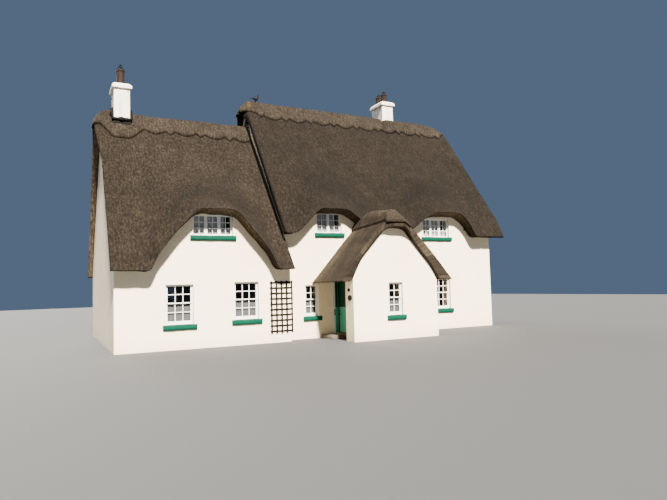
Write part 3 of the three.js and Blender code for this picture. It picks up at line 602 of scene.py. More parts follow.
net_cloth = thin_cloth("net_cloth", 0.88, (0.185, 0.185, 0.185), (0.235, 0.235, 0.235))
lace_cloth = thin_cloth("lace_cloth", 0.95, (0.66, 0.67, 0.70), (0.86, 0.87, 0.90))
# The sheer's blue tint is a painted reflection of the sky
sheer_with_painted_sky = thin_cloth("sheer_with_painted_sky", 0.98, (0.72, 0.76, 0.88), (0.84, 0.88, 0.98))
rod_brass, tree, shader = finish_of("rod_brass", 0.35, Metallic=1.0)
tarnish = weathered(tree, 8.0, 60.0).outputs["Fine"]
coloured(tree, shader, ramp(tree, tarnish, [(0.3, (0.25, 0.18, 0.09)), (0.7, (0.45, 0.34, 0.16))]))
FOLD_WIDE = 0.115
FOLD_DEEP = 0.009
NET_INSET = 0.216
SHEER_INSET = 0.250
SHEER_SHORT = 0.17
NET_EDGE = 0.015
ROD_RADIUS = 0.006
NET_THICK = 0.001
NET_HIGH = {SASH: 0.50, CASEMENT: 0.41}


def gathered_net(x0, x1, low, high, y, phase):
    """A net hanging in folds: y swings by a sine of x, more at the foot than at the rod, and by a smaller
    sine of another length, so that no two folds are alike. Returns points, faces, uv and flat width."""
    u = np.linspace(0, 1, 161)[None, :]
    v = np.linspace(0, 1, 13)[:, None]
    x = x0 + (x1 - x0) * u + 0 * v
    z = high - (high - low) * v + 0 * u
    deep = FOLD_DEEP * (0.45 + 0.55 * v)
    swing = deep * (np.sin(2 * np.pi * (x - x0) / FOLD_WIDE + phase)
                    + 0.4 * np.sin(2 * np.pi * (x - x0) / (FOLD_WIDE * 1.7) + 2.1 * phase))
    points = np.stack([x, y + swing, z], axis=-1)
    steps = np.linalg.norm(np.diff(points, axis=1), axis=-1)
    run_u = np.concatenate([np.zeros((13, 1)), np.cumsum(steps, axis=1)], axis=1)
    uv = np.stack([run_u, z], axis=-1)
    return points.reshape(-1, 3), grid_faces(13, 161), uv.reshape(-1, 2), run_u[:, -1].mean()


def tube(path, radius, sides=8):
    """A round rod along a path [n, 3]: at each point a circle across the path's direction, closed at both
    ends. radius is one number or one for each point."""
    path = np.asarray(path, float)
    ahead = np.gradient(path, axis=0)
    ahead /= np.linalg.norm(ahead, axis=1, keepdims=True)
    flattest = np.eye(3)[np.argmin(np.abs(ahead).max(axis=0))]
    side = np.cross(ahead, flattest)
    side /= np.linalg.norm(side, axis=1, keepdims=True)
    up = np.cross(side, ahead)
    turn = np.arange(sides) * 2 * np.pi / sides
    size = np.broadcast_to(radius, len(path))[:, None, None]
    rings = path[:, None] + size * (np.cos(turn)[None, :, None] * side[:, None]
                                    + np.sin(turn)[None, :, None] * up[:, None])
    return closed_skin(rings)


def joined(*parts):
    """Several (points, faces) lists as one."""
    points, faces, count = [], [], 0
    for part_points, part_faces in parts:
        points.append(part_points)
        faces += [[number + count for number in face] for face in part_faces]
        count += len(part_points)
    return np.concatenate(points), faces


UNCURTAINED = ["window_main_lower_2"]
hangings = []
for number, (node, wall, x0, x1, z0, z1, kind, *_) in enumerate(WINDOWS):
    if node in UNCURTAINED:
        continue
    top = z0 + (z1 - z0) * NET_HIGH[kind]
    cloth = net_cloth if kind == SASH else lace_cloth
    hangings.append((node + "_net", wall, x0, x1, x1, z0, top, NET_INSET, cloth, 0.7 * number))
    if kind == CASEMENT:
        hangings.append((node + "_sheer", wall, x0, x1, x1 - SHEER_SHORT * (x1 - x0), z0, z1 - 0.03,
                         SHEER_INSET, sheer_with_painted_sky, 1.3 * number))
for label, wall, x0, x1, cloth_x1, z0, top, inset, cloth, phase in hangings:
    face, inward = WALL_FACES[wall]
    hang_y = face + inward * inset
    foot = z0 + NET_EDGE
    points, faces, uv, flat_wide = gathered_net(x0 + NET_EDGE, cloth_x1 - NET_EDGE, foot, top, hang_y, phase)
    net = add_piece(label, points, faces, cloth, uv=uv)
    thick = net.modifiers.new("thickness", "SOLIDIFY")
    thick.thickness = NET_THICK
    thick.offset = 0.0
    rod_path = np.linspace((x0 + 0.002, hang_y, top + 0.004), (x1 - 0.002, hang_y, top + 0.004), 9)
    rod = face_out(add_piece(label + "_rod", *tube(rod_path, ROD_RADIUS), rod_brass))
    for piece in (net, rod):
        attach(piece, "house")


# Thatch
# A coat of water reed and straw up to 0.6 m thick, laid in courses from the eaves up and pinned under
# hazel rods. It is dressed to a smooth skin that rises in waves over the upper windows, and its verges
# stand out over the gables in soft noses under the ridge. Its underside is dry straw, paler under the raised
# eaves, partly as painted light, and darker elsewhere, partly as painted shade. The back slopes are painted
# paler as painted light, and a band above each raised eave is painted darker as painted shade.
straw, start, end = new_group(
    "straw",
    [("Vector", "Vector", None), ("Stalk Scale", "Float", 34.0), ("Course Scale", "Float", 2.2)],
    [("Streak", "Float"), ("Tuft", "Float"), ("Course", "Float"), ("Height", "Float")],
)
stretch = put(straw, "Mapping", Vector=start.outputs[0], Scale=(0.42, 0.055, 1.0)).outputs[0]
streak = put(straw, "TexNoise", Vector=stretch, Scale=start.outputs[1], Detail=6.0,
             Roughness=0.7).outputs["Fac"]
squat = put(straw, "Mapping", Vector=start.outputs[0], Scale=(1.0, 0.5, 1.0)).outputs[0]
clump = sums(straw, start.outputs[1], 0.38, 0.0)
tuft = put(straw, "TexNoise", Vector=squat, Scale=clump, Detail=7.0, Roughness=0.82).outputs["Fac"]
course = put(straw, "TexNoise", Vector=squat, Scale=start.outputs[2], Detail=3.0,
             Roughness=0.5).outputs["Fac"]
whole = sums(straw, course, 1.2, sums(straw, streak, 0.5, sums(straw, tuft, 0.5, 0.0)))
for index, value in enumerate((streak, tuft, course, whole)):
    straw.links.new(value, end.inputs[index])

# What each named mark does to the straw's tone, in order: the first makes straw paler, where it stays dry
# under the raised eaves and as painted light on those undersides, the back slopes and the left verge's
# overhang; the second is painted shade, a darker band above each raised eave; the third darkens cut ends
# and is painted shade on undersides, verge ends and the edges of the caps; and lichen is a rust-coloured
# patch
STRAW_MARKS = [("pale_and_painted_light", (9.0, 8.7, 8.4), "MULTIPLY"), ("brow_painted_shade", (0.66, 0.65, 0.67), "MULTIPLY"),
               ("cut", (0.45, 0.42, 0.38), "MULTIPLY"), ("lichen", (0.075, 0.040, 0.024), "MIX")]


def laid_straw(name, dark, middle, light, tone_spread=0.13, stalk_scale=34.0):
    """Weathered straw along the piece's run: fine tufts between three tones, long streaks, slow drifts of
    age, and the piece's own marks."""
    material, tree, shader = finish_of(name, 1.0, Specular_IOR_Level=0.12)
    run = put(tree, "UVMap", {"uv_map": "run"}).outputs[0]
    stalks = put(tree, "Group", {"node_tree": straw}, Vector=run, Stalk_Scale=stalk_scale, Course_Scale=1.6)
    ages = weathered(tree, 0.30, 2.4)
    tone = ramp(tree, stalks.outputs["Tuft"], [(0.33, dark), (0.50, middle), (0.68, light)])
    fade = ramp(tree, stalks.outputs["Streak"], [(0.38, (0.52, 0.51, 0.50)), (0.60, (1.30, 1.29, 1.28))])
    tone = mixed(tree, 0.7, tone, fade, "MULTIPLY")
    low, high = 1 - 1.6 * tone_spread, 1 + 1.6 * tone_spread
    for drift in (ages.outputs["Broad"], ages.outputs["Fine"], stalks.outputs["Course"]):
        shade = ramp(tree, drift, [(0.35, (low,) * 3), (0.65, (high,) * 3)])
        tone = mixed(tree, 0.6, tone, shade, "MULTIPLY")
    for mark, colour, way in STRAW_MARKS:
        share = put(tree, "Attribute", {"attribute_name": mark}).outputs["Fac"]
        tone = mixed(tree, share, tone, colour, way)
    coloured(tree, shader, tone)
    raised(tree, shader, stalks.outputs["Height"], 0.75, 0.02)
    return material


wing_straw = laid_straw("wing_straw", (0.0030, 0.0022, 0.0015), (0.0100, 0.0076, 0.0052),
                        (0.030, 0.0230, 0.0165))
block_straw = laid_straw("block_straw", (0.0028, 0.0021, 0.0014), (0.0076, 0.0058, 0.0041),
                         (0.019, 0.0147, 0.0107))

LEFT = {
    "ridge_y": 4.6, "eave_y": -0.58, "eave_z": 2.72, "ridge_z": 9.34,
    "from": -0.13, "to": 6.3, "left_start": -0.02, "right_start": 6.3,
    "dip": [(-0.34, 0.41), (-0.25, 0.24), (-0.16, 0.13), (-0.02, 0)],
    "coat": [(-0.13, 0.18), (0, 0.33), (0.45, 0.48), (0.65, 0.63)],
    "left_verge": [(-1.6, 0), (-1.0, 0.09), (-0.59, 0.145), (0, 0.21), (0.3, 0.19), (0.62, 0.15),
                   (1.5, 0.125), (4.16, 0.075), (5.18, 0.06)],
    "right_verge": [(0, 0)],
    "wave": [(1.15, 0), (1.26, 0.44), (2.14, 1.55), (2.66, 2.09), (2.85, 2.16), (3.95, 2.16), (4.2, 2.05),
             (4.9, 1.19), (5.42, 0.52), (5.56, 0.09), (5.7, 0)],
}
MAIN = {
    "ridge_y": 4.75, "eave_y": -0.05, "eave_z": 4.12, "ridge_z": 10.64,
    "from": 6.19, "to": 17.12, "left_start": 6.31, "right_start": 17.083,
    "dip": [(5.8, 0.55), (5.97, 0.34), (6.11, 0.18), (6.31, 0.02), (6.45, 0), (13.0, 0.02),
            (16.645, 0.065), (17.083, 0.165), (17.47, 0.4)],
    "coat": [(6.19, 0.48), (6.65, 0.54), (6.8, 0.63), (16.3, 0.63), (16.75, 0.45), (17.12, 0.25)],
    "left_verge": [(-0.7, 0), (-0.41, 0.06), (-0.15, 0.25), (0, 0.39), (0.15, 0.34), (0.3, 0.265),
                   (0.5, 0.21), (0.65, 0.16), (1.2, 0.04), (1.8, 0)],
    "right_verge": [(-4.8, 0.116), (-4.46, 0.25), (-4.08, 0.335), (-3.06, 0.34), (-1.67, 0.396),
                    (-0.87, 0.406), (-0.25, 0.37), (0, 0.32), (0.25, 0.37), (0.87, 0.406), (1.67, 0.396),
                    (3.06, 0.34), (4.08, 0.335), (4.46, 0.25), (4.8, 0.116)],
    "wave": [(6.6, 0), (6.85, 0.19), (7.27, 0.62), (7.53, 0.89), (7.76, 1.0), (8.88, 1.01), (9.16, 0.83),
             (9.7, 0.47), (10.25, 0.13), (10.6, 0), (11.5, 0), (11.75, 0.12), (12.07, 0.27), (12.6, 0.69),
             (13.12, 0.96), (13.55, 1.05), (14.62, 1.06), (14.95, 0.85), (15.26, 0.51), (15.42, 0.16),
             (15.56, 0)],
}
FULL_COAT = 0.63
LEAST_COAT = 0.12
NOSE_REACH = 0.42
EAVE_CUT = 0.49
BROW_REACH = 3.4
BROW_DEEPER = 0.15
VERGE_ROUND = 0.06
VERGE_STEPS = np.array([0.0, 0.03, 0.08, 0.16, 0.28, 0.42, 0.58, 0.75, 0.88])
# The paler undersides of the raised eaves are partly dry straw and partly painted light; the left verge's
# overhang and the back slopes are painted paler as painted light; and a band above each raised eave is
# painted darker as painted shade.
DRY_UNDERSIDE_AND_LIGHT = 0.75
VERGE_PAINTED_LIGHT = 0.8
BACK_PAINTED_LIGHT = 0.18
BROW_SHADE_DOWN = 0.74
BROW_SHADE_REACH = 0.17
SEAM = 0.0003


def eased(points, x, reach=0.14):
    """A table of (place, value) read with straight lines, then averaged over reach on each side."""
    xs, ys = np.array(points, float).T
    offsets = np.linspace(-reach, reach, 9)
    weights = np.cos(offsets / reach * 1.3)
    return sum(w * np.interp(x + o, xs, ys) for w, o in zip(weights, offsets)) / weights.sum()


def slope_height(roof, x, t):
    """Height of the straight skin at a distance t from the ridge plane, plus the wave's lift times the
    1.5th power of how near the eave is."""
    run = roof["ridge_y"] - roof["eave_y"]
    reach = min(run, BROW_REACH - roof["eave_y"])
    near = np.clip(1 - (run - t) / reach, 0, 1)
    straight = roof["ridge_z"] - (roof["ridge_z"] - roof["eave_z"]) * t / run
    return straight + eased(roof["wave"], x) * near ** 1.5


def fall(roof, x, t):
    """How far the skin lies under the straight ridge near a gable; it fades down the slope."""
    return eased(roof["dip"], x, 0.05) * np.maximum(0, 1 - t / NOSE_REACH)


def roof_stations(roof, step):
    """Stations from verge to verge: the place x, the share of the verge's overhang there, and the number of
    stations left to the end, for rounding it."""
    inner = np.linspace(roof["left_start"], roof["right_start"],
                        int((roof["right_start"] - roof["left_start"]) / step))
    left, right = (roof[start] + (roof[end] - roof[start]) * (1 - VERGE_STEPS)
                   for start, end in (("left_start", "from"), ("right_start", "to")))
    if roof["right_start"] == roof["to"]:
        right = roof["to"] - VERGE_ROUND * VERGE_STEPS
        inner = inner[inner < roof["to"] - VERGE_ROUND - 0.01]
    inner = inner[1:-1]
    count = np.arange(len(VERGE_STEPS))
    x = np.concatenate([left, inner, right[::-1]])
    part = np.concatenate([1 - VERGE_STEPS, 0 * inner, 1 - VERGE_STEPS[::-1]])
    drawn = np.concatenate([count, np.full(len(inner), len(count)), count[::-1]])
    return x[:, None], part[:, None], drawn[:, None]


def uneven(points, depth):
    """Lifts points by slow hand-made unevenness: crossing sine waves of five lengths, depth metres high."""
    x, y, z = np.moveaxis(points, -1, 0)
    wave = np.sin(2.1 * x + 0.7 * z) + np.sin(1.3 * x - 1.9 * z + 1.1) + 0.7 * np.sin(4.3 * x + 3.1 * y + 0.4)
    wave = wave + 0.5 * np.sin(7.9 * x - 2.2 * z + 2.0) + 0.4 * np.sin(11.3 * x + 5.1 * z)
    return np.stack([x, y, z + depth * wave], axis=-1)


def capped(rows, ends=None):
    """Rows with one more at both ends: the first and last of ends, or else of the rows themselves."""
    ends = rows if ends is None else ends
    return np.concatenate([ends[:1], rows, ends[-1:]])


def ring_piece(name, rings, material, uv, marks):
    """A piece from rings [n, m, 3] of which the outermost are flat: seams merged and faces turned out."""
    piece = add_piece(name, rings.reshape(-1, 3), grid_faces(*rings.shape[:2], wrap_cols=True), material,
                      uv=uv.reshape(-1, 2), marks=marks)
    return face_out(piece, merge=SEAM)


def roof_sheet(name, roof, step, material):
    """A closed coat of thatch. Half a section runs from the ridge down the skin, in across the eave cut and
    up the underside, whose depth grows from the coat at the ridge to the cut's own at the eave by a power
    of how far down it is. It is mirrored over the ridge and carried from verge to verge; a verge stands out
    by its own table, and its edge is drawn in to the coat's middle on a round curve."""
    run = roof["ridge_y"] - roof["eave_y"]
    slant = np.hypot(1, (roof["ridge_z"] - roof["eave_z"]) / run)
    x, part, drawn = roof_stations(roof, step)
    left_side = (np.arange(len(x)) < len(x) / 2)[:, None]
    lift = eased(roof["wave"], x)
    highest = max(high for _, high in roof["wave"])
    coat = eased(roof["coat"], x, 0.03)
    out_left, out_right = (np.interp(0, *np.array(roof[verge], float).T)
                           for verge in ("left_verge", "right_verge"))
    nose_x = x + np.where(left_side, -out_left, out_right) * part
    down = np.concatenate([np.linspace(0, 0.12, 14)[:-1],
                           np.linspace(0.12, 1, int(run * 1.5 / step))])[None, :]
    t_top = run * down + 0 * x
    z_top = slope_height(roof, x, t_top) - fall(roof, nose_x, t_top)
    cut = run - EAVE_CUT - 0.06 * lift
    tip = slope_height(roof, x, run + 0 * x)
    lower = BROW_DEEPER * np.clip(lift / highest, 0, 1)
    eave_deep = slope_height(roof, x, cut) - tip + lower
    bend = 2 + 4 * (1 - coat / FULL_COAT)
    t_under = cut * down
    deep = np.maximum(coat + (eave_deep - coat) * down ** bend, fall(roof, nose_x, t_under) + LEAST_COAT)
    z_under = slope_height(roof, x, t_under) - deep
    across = np.linspace(0, 1, 8)[None, 1:-1]
    t_cut = run + (cut - run) * across
    z_cut = tip - lower * across + 0.02 * np.sin(np.pi * across)
    t = np.concatenate([t_top, t_cut, t_under[:, ::-1]], axis=1)
    z = np.concatenate([z_top, z_cut, z_under[:, ::-1]], axis=1)
    halfway = ((t_top + t_under) / 2, (z_top + z_under) / 2)
    core_t, core_z = (np.concatenate([core, core[:, [-1] * across.size], core[:, ::-1]], axis=1)
                      for core in halfway)
    pulled = VERGE_ROUND * (1 - np.clip(drawn / 6, 0, 1))
    keep = np.clip(1 - pulled / np.maximum(np.hypot(t - core_t, z - core_z), 0.01), 0, 1)
    t = core_t + (t - core_t) * keep
    z = core_z + (z - core_z) * keep

    def around(half, other=None):
        """The front half of a section, or another in its place, and the back half, as one ring."""
        return np.concatenate([half if other is None else other, half[:, -2:0:-1]], axis=1)

    below = np.concatenate([0 * t_top, 0 * t_cut + 1, 0 * t_under + 1], axis=1)
    # Cut ends and undersides are darker, partly as painted shade
    cut_ends_and_shade = around(np.maximum(below, 0.35 * np.clip(1 - drawn / 5, 0, 1)))
    raised_by = np.clip(eased(roof["wave"], x, 0.4) / highest, 0, 1)
    # Under the raised eaves the underside is paler, partly dry straw and partly painted light
    dry_and_painted_light = around(below * raised_by ** 1.6)
    # Painted shade: a darker band above each raised eave
    brow_shade_band = raised_by * np.exp(-((down - BROW_SHADE_DOWN) / BROW_SHADE_REACH) ** 2)
    ring_t = around(t, -t)
    ring_x = np.repeat(x, ring_t.shape[1], axis=1)
    for side, verge, way in ((left_side, "left_verge", -1), (~left_side, "right_verge", 1)):
        out = eased(roof[verge], ring_t, 0.06) if len(roof[verge]) > 1 else 0 * ring_t
        ring_x = np.where(side, ring_x + way * out * part, ring_x)
    rings = uneven(np.stack([ring_x, roof["ridge_y"] + ring_t, around(z)], axis=-1), 0.008)
    ends = np.stack([ring_x, roof["ridge_y"] + around(core_t, -core_t), around(core_z)], axis=-1)
    uv = np.stack([ring_x, np.abs(ring_t) * slant], axis=-1)
    # Painted light: the back slope and the left verge's overhang are made paler
    overhang = left_side & (drawn < len(VERGE_STEPS)) & (ring_t > 0.3) & (cut_ends_and_shade > 0.5)
    pale_and_painted_light = np.maximum(DRY_UNDERSIDE_AND_LIGHT * dry_and_painted_light, BACK_PAINTED_LIGHT * np.clip(ring_t / 0.3, 0, 1))
    marks = {"cut": capped(np.where(overhang, 0.0, cut_ends_and_shade * (1 - dry_and_painted_light))),
             "pale_and_painted_light": capped(np.where(overhang, VERGE_PAINTED_LIGHT, pale_and_painted_light)),
             "brow_painted_shade": capped(around(np.concatenate([brow_shade_band, 0 * t_cut, 0 * t_under], axis=1)))}
    return ring_piece(name, capped(rings, ends), material, capped(uv), marks)


left_thatch = roof_sheet("thatch_left", LEFT, 0.07, wing_straw)
main_thatch = roof_sheet("thatch_main", MAIN, 0.08, block_straw)
for piece, node in ((left_thatch, "left_thatch"), (main_thatch, "main_thatch")):
    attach(piece, "house")
    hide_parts(node)


# Porch thatch
# The same coat over the porch's gabled roof, swept down low on both sides and rounded over the top. It
# is a little higher at its verge, which stands just proud of the gable and further out under the top.
PORCH_VERGE_Y = -2.07
PORCH_NOSE = 0.23
PORCH_NOSE_X = 9.86
PORCH_NOSE_HALF = 0.58
PORCH_NOSE_BACK = 1.0
PORCH_HOUSE_Y = 0.4997
PORCH_TOP_VERGE = [(7.44, 2.19), (8.34, 3.40), (9.24, 4.33), (9.48, 4.62), (9.70, 4.64), (10.22, 4.35),
                   (10.77, 4.01), (11.61, 3.14), (12.43, 2.19)]
PORCH_UNDER_VERGE = [(7.80, 2.19), (8.26, 3.06), (8.89, 3.73), (9.25, 4.11), (9.50, 4.21), (10.18, 4.20),
                     (10.40, 3.91), (11.48, 2.72), (11.79, 2.19)]
PORCH_TOP_HOUSE = [(7.44, 2.19), (8.34, 3.19), (9.24, 4.20), (9.48, 4.47), (9.70, 4.49), (10.20, 4.19),
                   (10.74, 3.86), (11.58, 3.05), (12.43, 2.19)]
PORCH_UNDER_HOUSE = [(7.80, 2.19), (8.26, 2.83), (8.89, 3.56), (9.25, 3.92), (9.50, 4.02), (10.18, 4.02),
                     (10.40, 3.76), (11.48, 2.62), (11.79, 2.19)]
PORCH_ROUND = 0.05
LINE_COUNT = 90
LINE_REACH = 0.22
CUT_COUNT = 6
PALE_STRIP_Y = -0.25
PALE_STRIP = 0.09
PALE_FACE = 0.04


def run_of(path):
    """The distance along a path at each of its points."""
    return np.concatenate([[0], np.cumsum(np.linalg.norm(np.diff(path, axis=0), axis=1))])


def rounded_line(corners):
    """A line through corners read at even steps of its length and averaged over a reach on each side; both
    of its ends stay in place."""
    corners = np.array(corners, float)
    length = run_of(corners)
    s = np.linspace(0, length[-1], LINE_COUNT)
    room = np.minimum(np.minimum(s, length[-1] - s), LINE_REACH)
    total = np.zeros((LINE_COUNT, 2))
    for offset in np.linspace(-1, 1, 9):
        total += np.stack([np.interp(s + offset * room, length, corners[:, k]) for k in (0, 1)], axis=-1)
    return total / 9


def porch_nose(x, y):
    """How far the verge stands out more under the rounded top: a flat bell in x, fading back in y."""
    fade = np.clip(1 - (y - PORCH_VERGE_Y) / PORCH_NOSE_BACK, 0, 1) ** 2
    return PORCH_NOSE * np.exp(-((x - PORCH_NOSE_X) / PORCH_NOSE_HALF) ** 4) * fade


def porch_sheet(name, material):
    """The porch's coat: between its verge and house outlines each point goes straight back. The section is
    the rounded top line, the flat eave cut, the rounded under line and the other cut, and its verge edge
    is drawn in to the middle of the coat on a quarter circle."""
    turn = np.linspace(0, np.pi / 2, 10)
    y = np.concatenate([PORCH_VERGE_Y + PORCH_ROUND * (1 - np.cos(turn)),
                        np.linspace(PORCH_VERGE_Y + PORCH_ROUND, PORCH_HOUSE_Y, 40)[1:]])[:, None]
    pull = np.concatenate([PORCH_ROUND * (1 - np.sin(turn)), np.zeros(39)])[:, None, None]
    part = ((y - PORCH_VERGE_Y) / (PORCH_HOUSE_Y - PORCH_VERGE_Y))[..., None]
    outlines = ((PORCH_TOP_VERGE, PORCH_TOP_HOUSE), (PORCH_UNDER_VERGE, PORCH_UNDER_HOUSE))
    top, under = (rounded_line(verge) * (1 - part) + rounded_line(house) * part
                  for verge, house in outlines)
    core = (top + under) / 2
    across = np.linspace(0, 1, CUT_COUNT + 2)[None, 1:-1, None]
    right_cut = top[:, -1:] * (1 - across) + under[:, -1:] * across
    left_cut = under[:, :1] * (1 - across) + top[:, :1] * across
    ring = np.concatenate([top, right_cut, under[:, ::-1], left_cut], axis=1)
    middle = np.concatenate([core, np.repeat(core[:, -1:], CUT_COUNT, axis=1), core[:, ::-1],
                             np.repeat(core[:, :1], CUT_COUNT, axis=1)], axis=1)
    thick = np.maximum(np.linalg.norm(ring - middle, axis=-1, keepdims=True), 0.01)
    ring = middle + (ring - middle) * np.clip(1 - pull / thick, 0, 1)
    rings, ends = (np.stack([line[..., 0], y - porch_nose(line[..., 0], y), line[..., 1]], axis=-1)
                   for line in (ring, middle))
    points = capped(uneven(rings, 0.005), ends)
    x, back = points[..., 0], points[..., 1]
    run = np.concatenate([np.linspace(-3.4, 3.4, LINE_COUNT), np.full(CUT_COUNT, 3.5),
                          np.linspace(3.4, -3.4, LINE_COUNT), np.full(CUT_COUNT, -3.5)])
    below = np.concatenate([np.zeros(LINE_COUNT), np.ones(LINE_COUNT + 2 * CUT_COUNT)]) + 0 * back
    # The left slope is made paler in a strip near the main wall, and the right verge's face a little paler
    strip = np.clip((back - PALE_STRIP_Y) / 0.15, 0, 1) * (x < 9.3) * (below < 0.5)
    face = np.clip(1.5 - (capped(y) - PORCH_VERGE_Y) / PORCH_ROUND, 0, 1)
    pale_and_painted_light = np.maximum(PALE_STRIP * strip, PALE_FACE * face * (x > 9.9))
    # The underside carries the dark mark as painted shade, except at the verge's face
    return ring_piece(name, points, material, np.stack([back, np.abs(run) + 0 * back], axis=-1),
                      {"cut": below * (1 - face), "pale_and_painted_light": pale_and_painted_light})


porch_straw = laid_straw("porch_straw", (0.0040, 0.0030, 0.0019), (0.0160, 0.0122, 0.0083),
                         (0.046, 0.0355, 0.0250), tone_spread=0.22)
porch_thatch = porch_sheet("thatch_porch", porch_straw)
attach(porch_thatch, "house")
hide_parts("porch_thatch")


# Ridge caps
# A second coat of fresh straw bent over each ridge and held by hazel rods. Its lower edge is cut with a
# knife into wide scallops with a small pointed tooth between each two, and deepens at the left gable.
cap_straw = laid_straw("cap_straw", (0.0042, 0.0032, 0.0022), (0.0155, 0.0121, 0.0085),
                       (0.044, 0.0350, 0.0255), tone_spread=0.16, stalk_scale=36.0)
CAP_THICK = 0.10
CAP_LIP = 0.085
CAP_SHOULDER = 0.045
CAP_SUNK = 0.03
CAP_EDGE_ROUND = 0.03
CAP_STEP = 0.035
SCALLOP_WIDE = 0.89
HUMP_HIGH = 0.31
HUMP_DOWN = 0.36
HUMP_REACH = 0.15
HUMP_HALF = 0.46
LICHEN = 0.4
LICHEN_REACH = 0.12
LEFT_CAP = {
    "from": -0.335, "to": 6.19, "start": 1.59, "stop": 6.19, "pitch": 1.28, "deep": 0.78, "bulge": 0.22,
    "edge": [(-0.34, 0.62), (-0.17, 0.62), (-0.066, 0.7), (0.032, 0.84), (0.195, 1.12), (0.325, 1.38),
             (0.453, 1.47), (1.0, 1.465), (1.25, 1.23), (1.42, 1.0), (1.59, 0.8)],
    "crown": [(-0.1, 0), (0.1, 0.06), (0.35, 0.105), (1.0, 0.05), (1.6, 0.03)], "stack": None, "lichen": [],
}
MAIN_CAP = {
    "from": 5.885, "to": 17.455, "start": 6.93, "stop": 17.066, "pitch": 1.267, "deep": 0.87, "bulge": 0.22,
    "edge": [(5.8, 0.76), (5.922, 0.71), (6.108, 0.66), (6.29, 0.655), (6.452, 0.685), (6.6, 0.76),
             (6.778, 1.0), (6.93, 0.83)],
    "crown": [(6.0, 0), (7.0, 0)], "stack": 13.9,
    "lichen": [(6.36, 0.08), (6.32, 0.20)],
}


def cap_depth(cap, x):
    """How far down the slope the cap reaches: its own table before the first scallop; then, in each pitch,
    a half sine over the scallop's width and a triangle over the rest."""
    along = np.mod(x - cap["start"], cap["pitch"])
    scallop = cap["bulge"] * np.sin(np.pi * along / SCALLOP_WIDE)
    u = (along - SCALLOP_WIDE) / (cap["pitch"] - SCALLOP_WIDE)
    tooth = cap["bulge"] * (1 - np.abs(2 * u - 1))
    depth = cap["deep"] + np.where(along < SCALLOP_WIDE, scallop, tooth)
    depth = np.where(x < cap["start"], eased(cap["edge"], x, 0.05), depth)
    return np.where(x > cap["stop"], cap["deep"] - (x - cap["stop"]), depth)


def ridge_cap(name, roof, cap):
    """A saddle over the ridge, from one scalloped edge to the other: it stands over the skin by its lip at
    the edge, which is rounded on a quarter circle, by more at its shoulders, and by its thickness and the
    crown at the ridge, and it swells in front of a stack. Its underside lies in the thatch, and both ends
    are drawn in to a line."""
    slope = (roof["ridge_z"] - roof["eave_z"]) / (roof["ridge_y"] - roof["eave_y"])
    slant = np.hypot(1, slope)
    x = np.linspace(cap["from"], cap["to"], int((cap["to"] - cap["from"]) / CAP_STEP))[:, None]
    edge = cap_depth(cap, x) / slant
    turn = np.linspace(0, np.pi / 2, 6)[None, :]
    lip_t = edge - CAP_EDGE_ROUND * (1 - np.cos(turn)) / slant
    lip_over = CAP_LIP - CAP_EDGE_ROUND * (1 - np.sin(turn))
    part = np.linspace(0, 1, 16)[None, 1:]
    ridge_over = CAP_THICK + eased(cap["crown"], x, 0.08)
    body_over = CAP_LIP + (ridge_over - CAP_LIP) * part ** 2 + CAP_SHOULDER * np.sin(np.pi * part ** 0.7)
    t = np.concatenate([edge, lip_t, lip_t[:, -1:] * (1 - part)], axis=1)
    over = np.concatenate([0 * edge - CAP_SUNK, lip_over + 0 * edge, body_over], axis=1)
    near_end = np.clip(1 - np.minimum(x - cap["from"], cap["to"] - x) / 0.06, 0, 1)
    over = over - 0.05 * near_end ** 2 * (over > 0)
    if cap["stack"]:
        hump = np.exp(-((x - cap["stack"]) / HUMP_HALF) ** 4 - ((t - HUMP_DOWN) / HUMP_REACH) ** 2)
        over = over + HUMP_HIGH * hump * (over > 0)
    skin = roof["ridge_z"] - slope * t - fall(roof, x, t)
    half_y = np.concatenate([-t, t[:, -2::-1]], axis=1)
    top_z, in_z = (np.concatenate([z, z[:, -2::-1]], axis=1) for z in (skin + over, skin - CAP_SUNK))
    ring_y = roof["ridge_y"] + np.concatenate([half_y, half_y[:, -2:0:-1]], axis=1)
    ring_x = np.repeat(x, ring_y.shape[1], axis=1)
    rings, ends = (np.stack([ring_x, ring_y, np.concatenate([above, under[:, -2:0:-1]], axis=1)], axis=-1)
                   for above, under in ((top_z, in_z), ((top_z + in_z) / 2, (top_z + in_z) / 2)))
    points = capped(uneven(rings, 0.008), ends)
    back = points[..., 1] - roof["ridge_y"]
    across = half_y.shape[1]
    # The dark mark on the rows at each scalloped edge and on the underside is painted shade; the back half is
    # painted paler as painted light
    cut = np.concatenate([np.ones(4), np.full(3, 0.5), np.zeros(across - 14), np.full(3, 0.5),
                          np.ones(across + 2)])
    rust = 0 * back
    for rust_x, rust_t in cap["lichen"]:
        far = np.hypot(points[..., 0] - rust_x, (back + rust_t) * 1.6)
        rust = np.maximum(rust, LICHEN * np.exp(-(far / LICHEN_REACH) ** 2))
    marks = {"cut": cut + 0 * back, "pale_and_painted_light": BACK_PAINTED_LIGHT * np.clip(back / 0.3, 0, 1), "lichen": rust}
    uv = np.stack([points[..., 0], np.abs(back) * slant], axis=-1)
    return ring_piece(name, points, cap_straw, uv, marks)


left_cap = ridge_cap("cap_left", LEFT, LEFT_CAP)
main_cap = ridge_cap("cap_main", MAIN, MAIN_CAP)
for piece, node in ((left_cap, "left_ridge_cap"), (main_cap, "main_ridge_cap")):
    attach(piece, "house")
    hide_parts(node)


# Porch hood
# The porch's own cap: a thick roll of straw bent over its rounded top, running back to the main eaves
# and ending in a soft lip over the verge.
HOOD = [(9.30, 0.11), (9.42, 0.22), (9.60, 0.27), (9.75, 0.28), (10.0, 0.22), (10.25, 0.13), (10.36, 0.11)]
HOOD_SWELL = [(-2.3, 0), (-1.6, 0.08), (-0.9, 0.18), (-0.4, 0.19), (0.0, 0.08), (0.3, 0)]
HOOD_FRONT_Y = -2.338
HOOD_NOSE = 0.26
HOOD_LIP_Z = 4.41
HOOD_CORNER = 0.08
HOOD_ROUND = 0.055


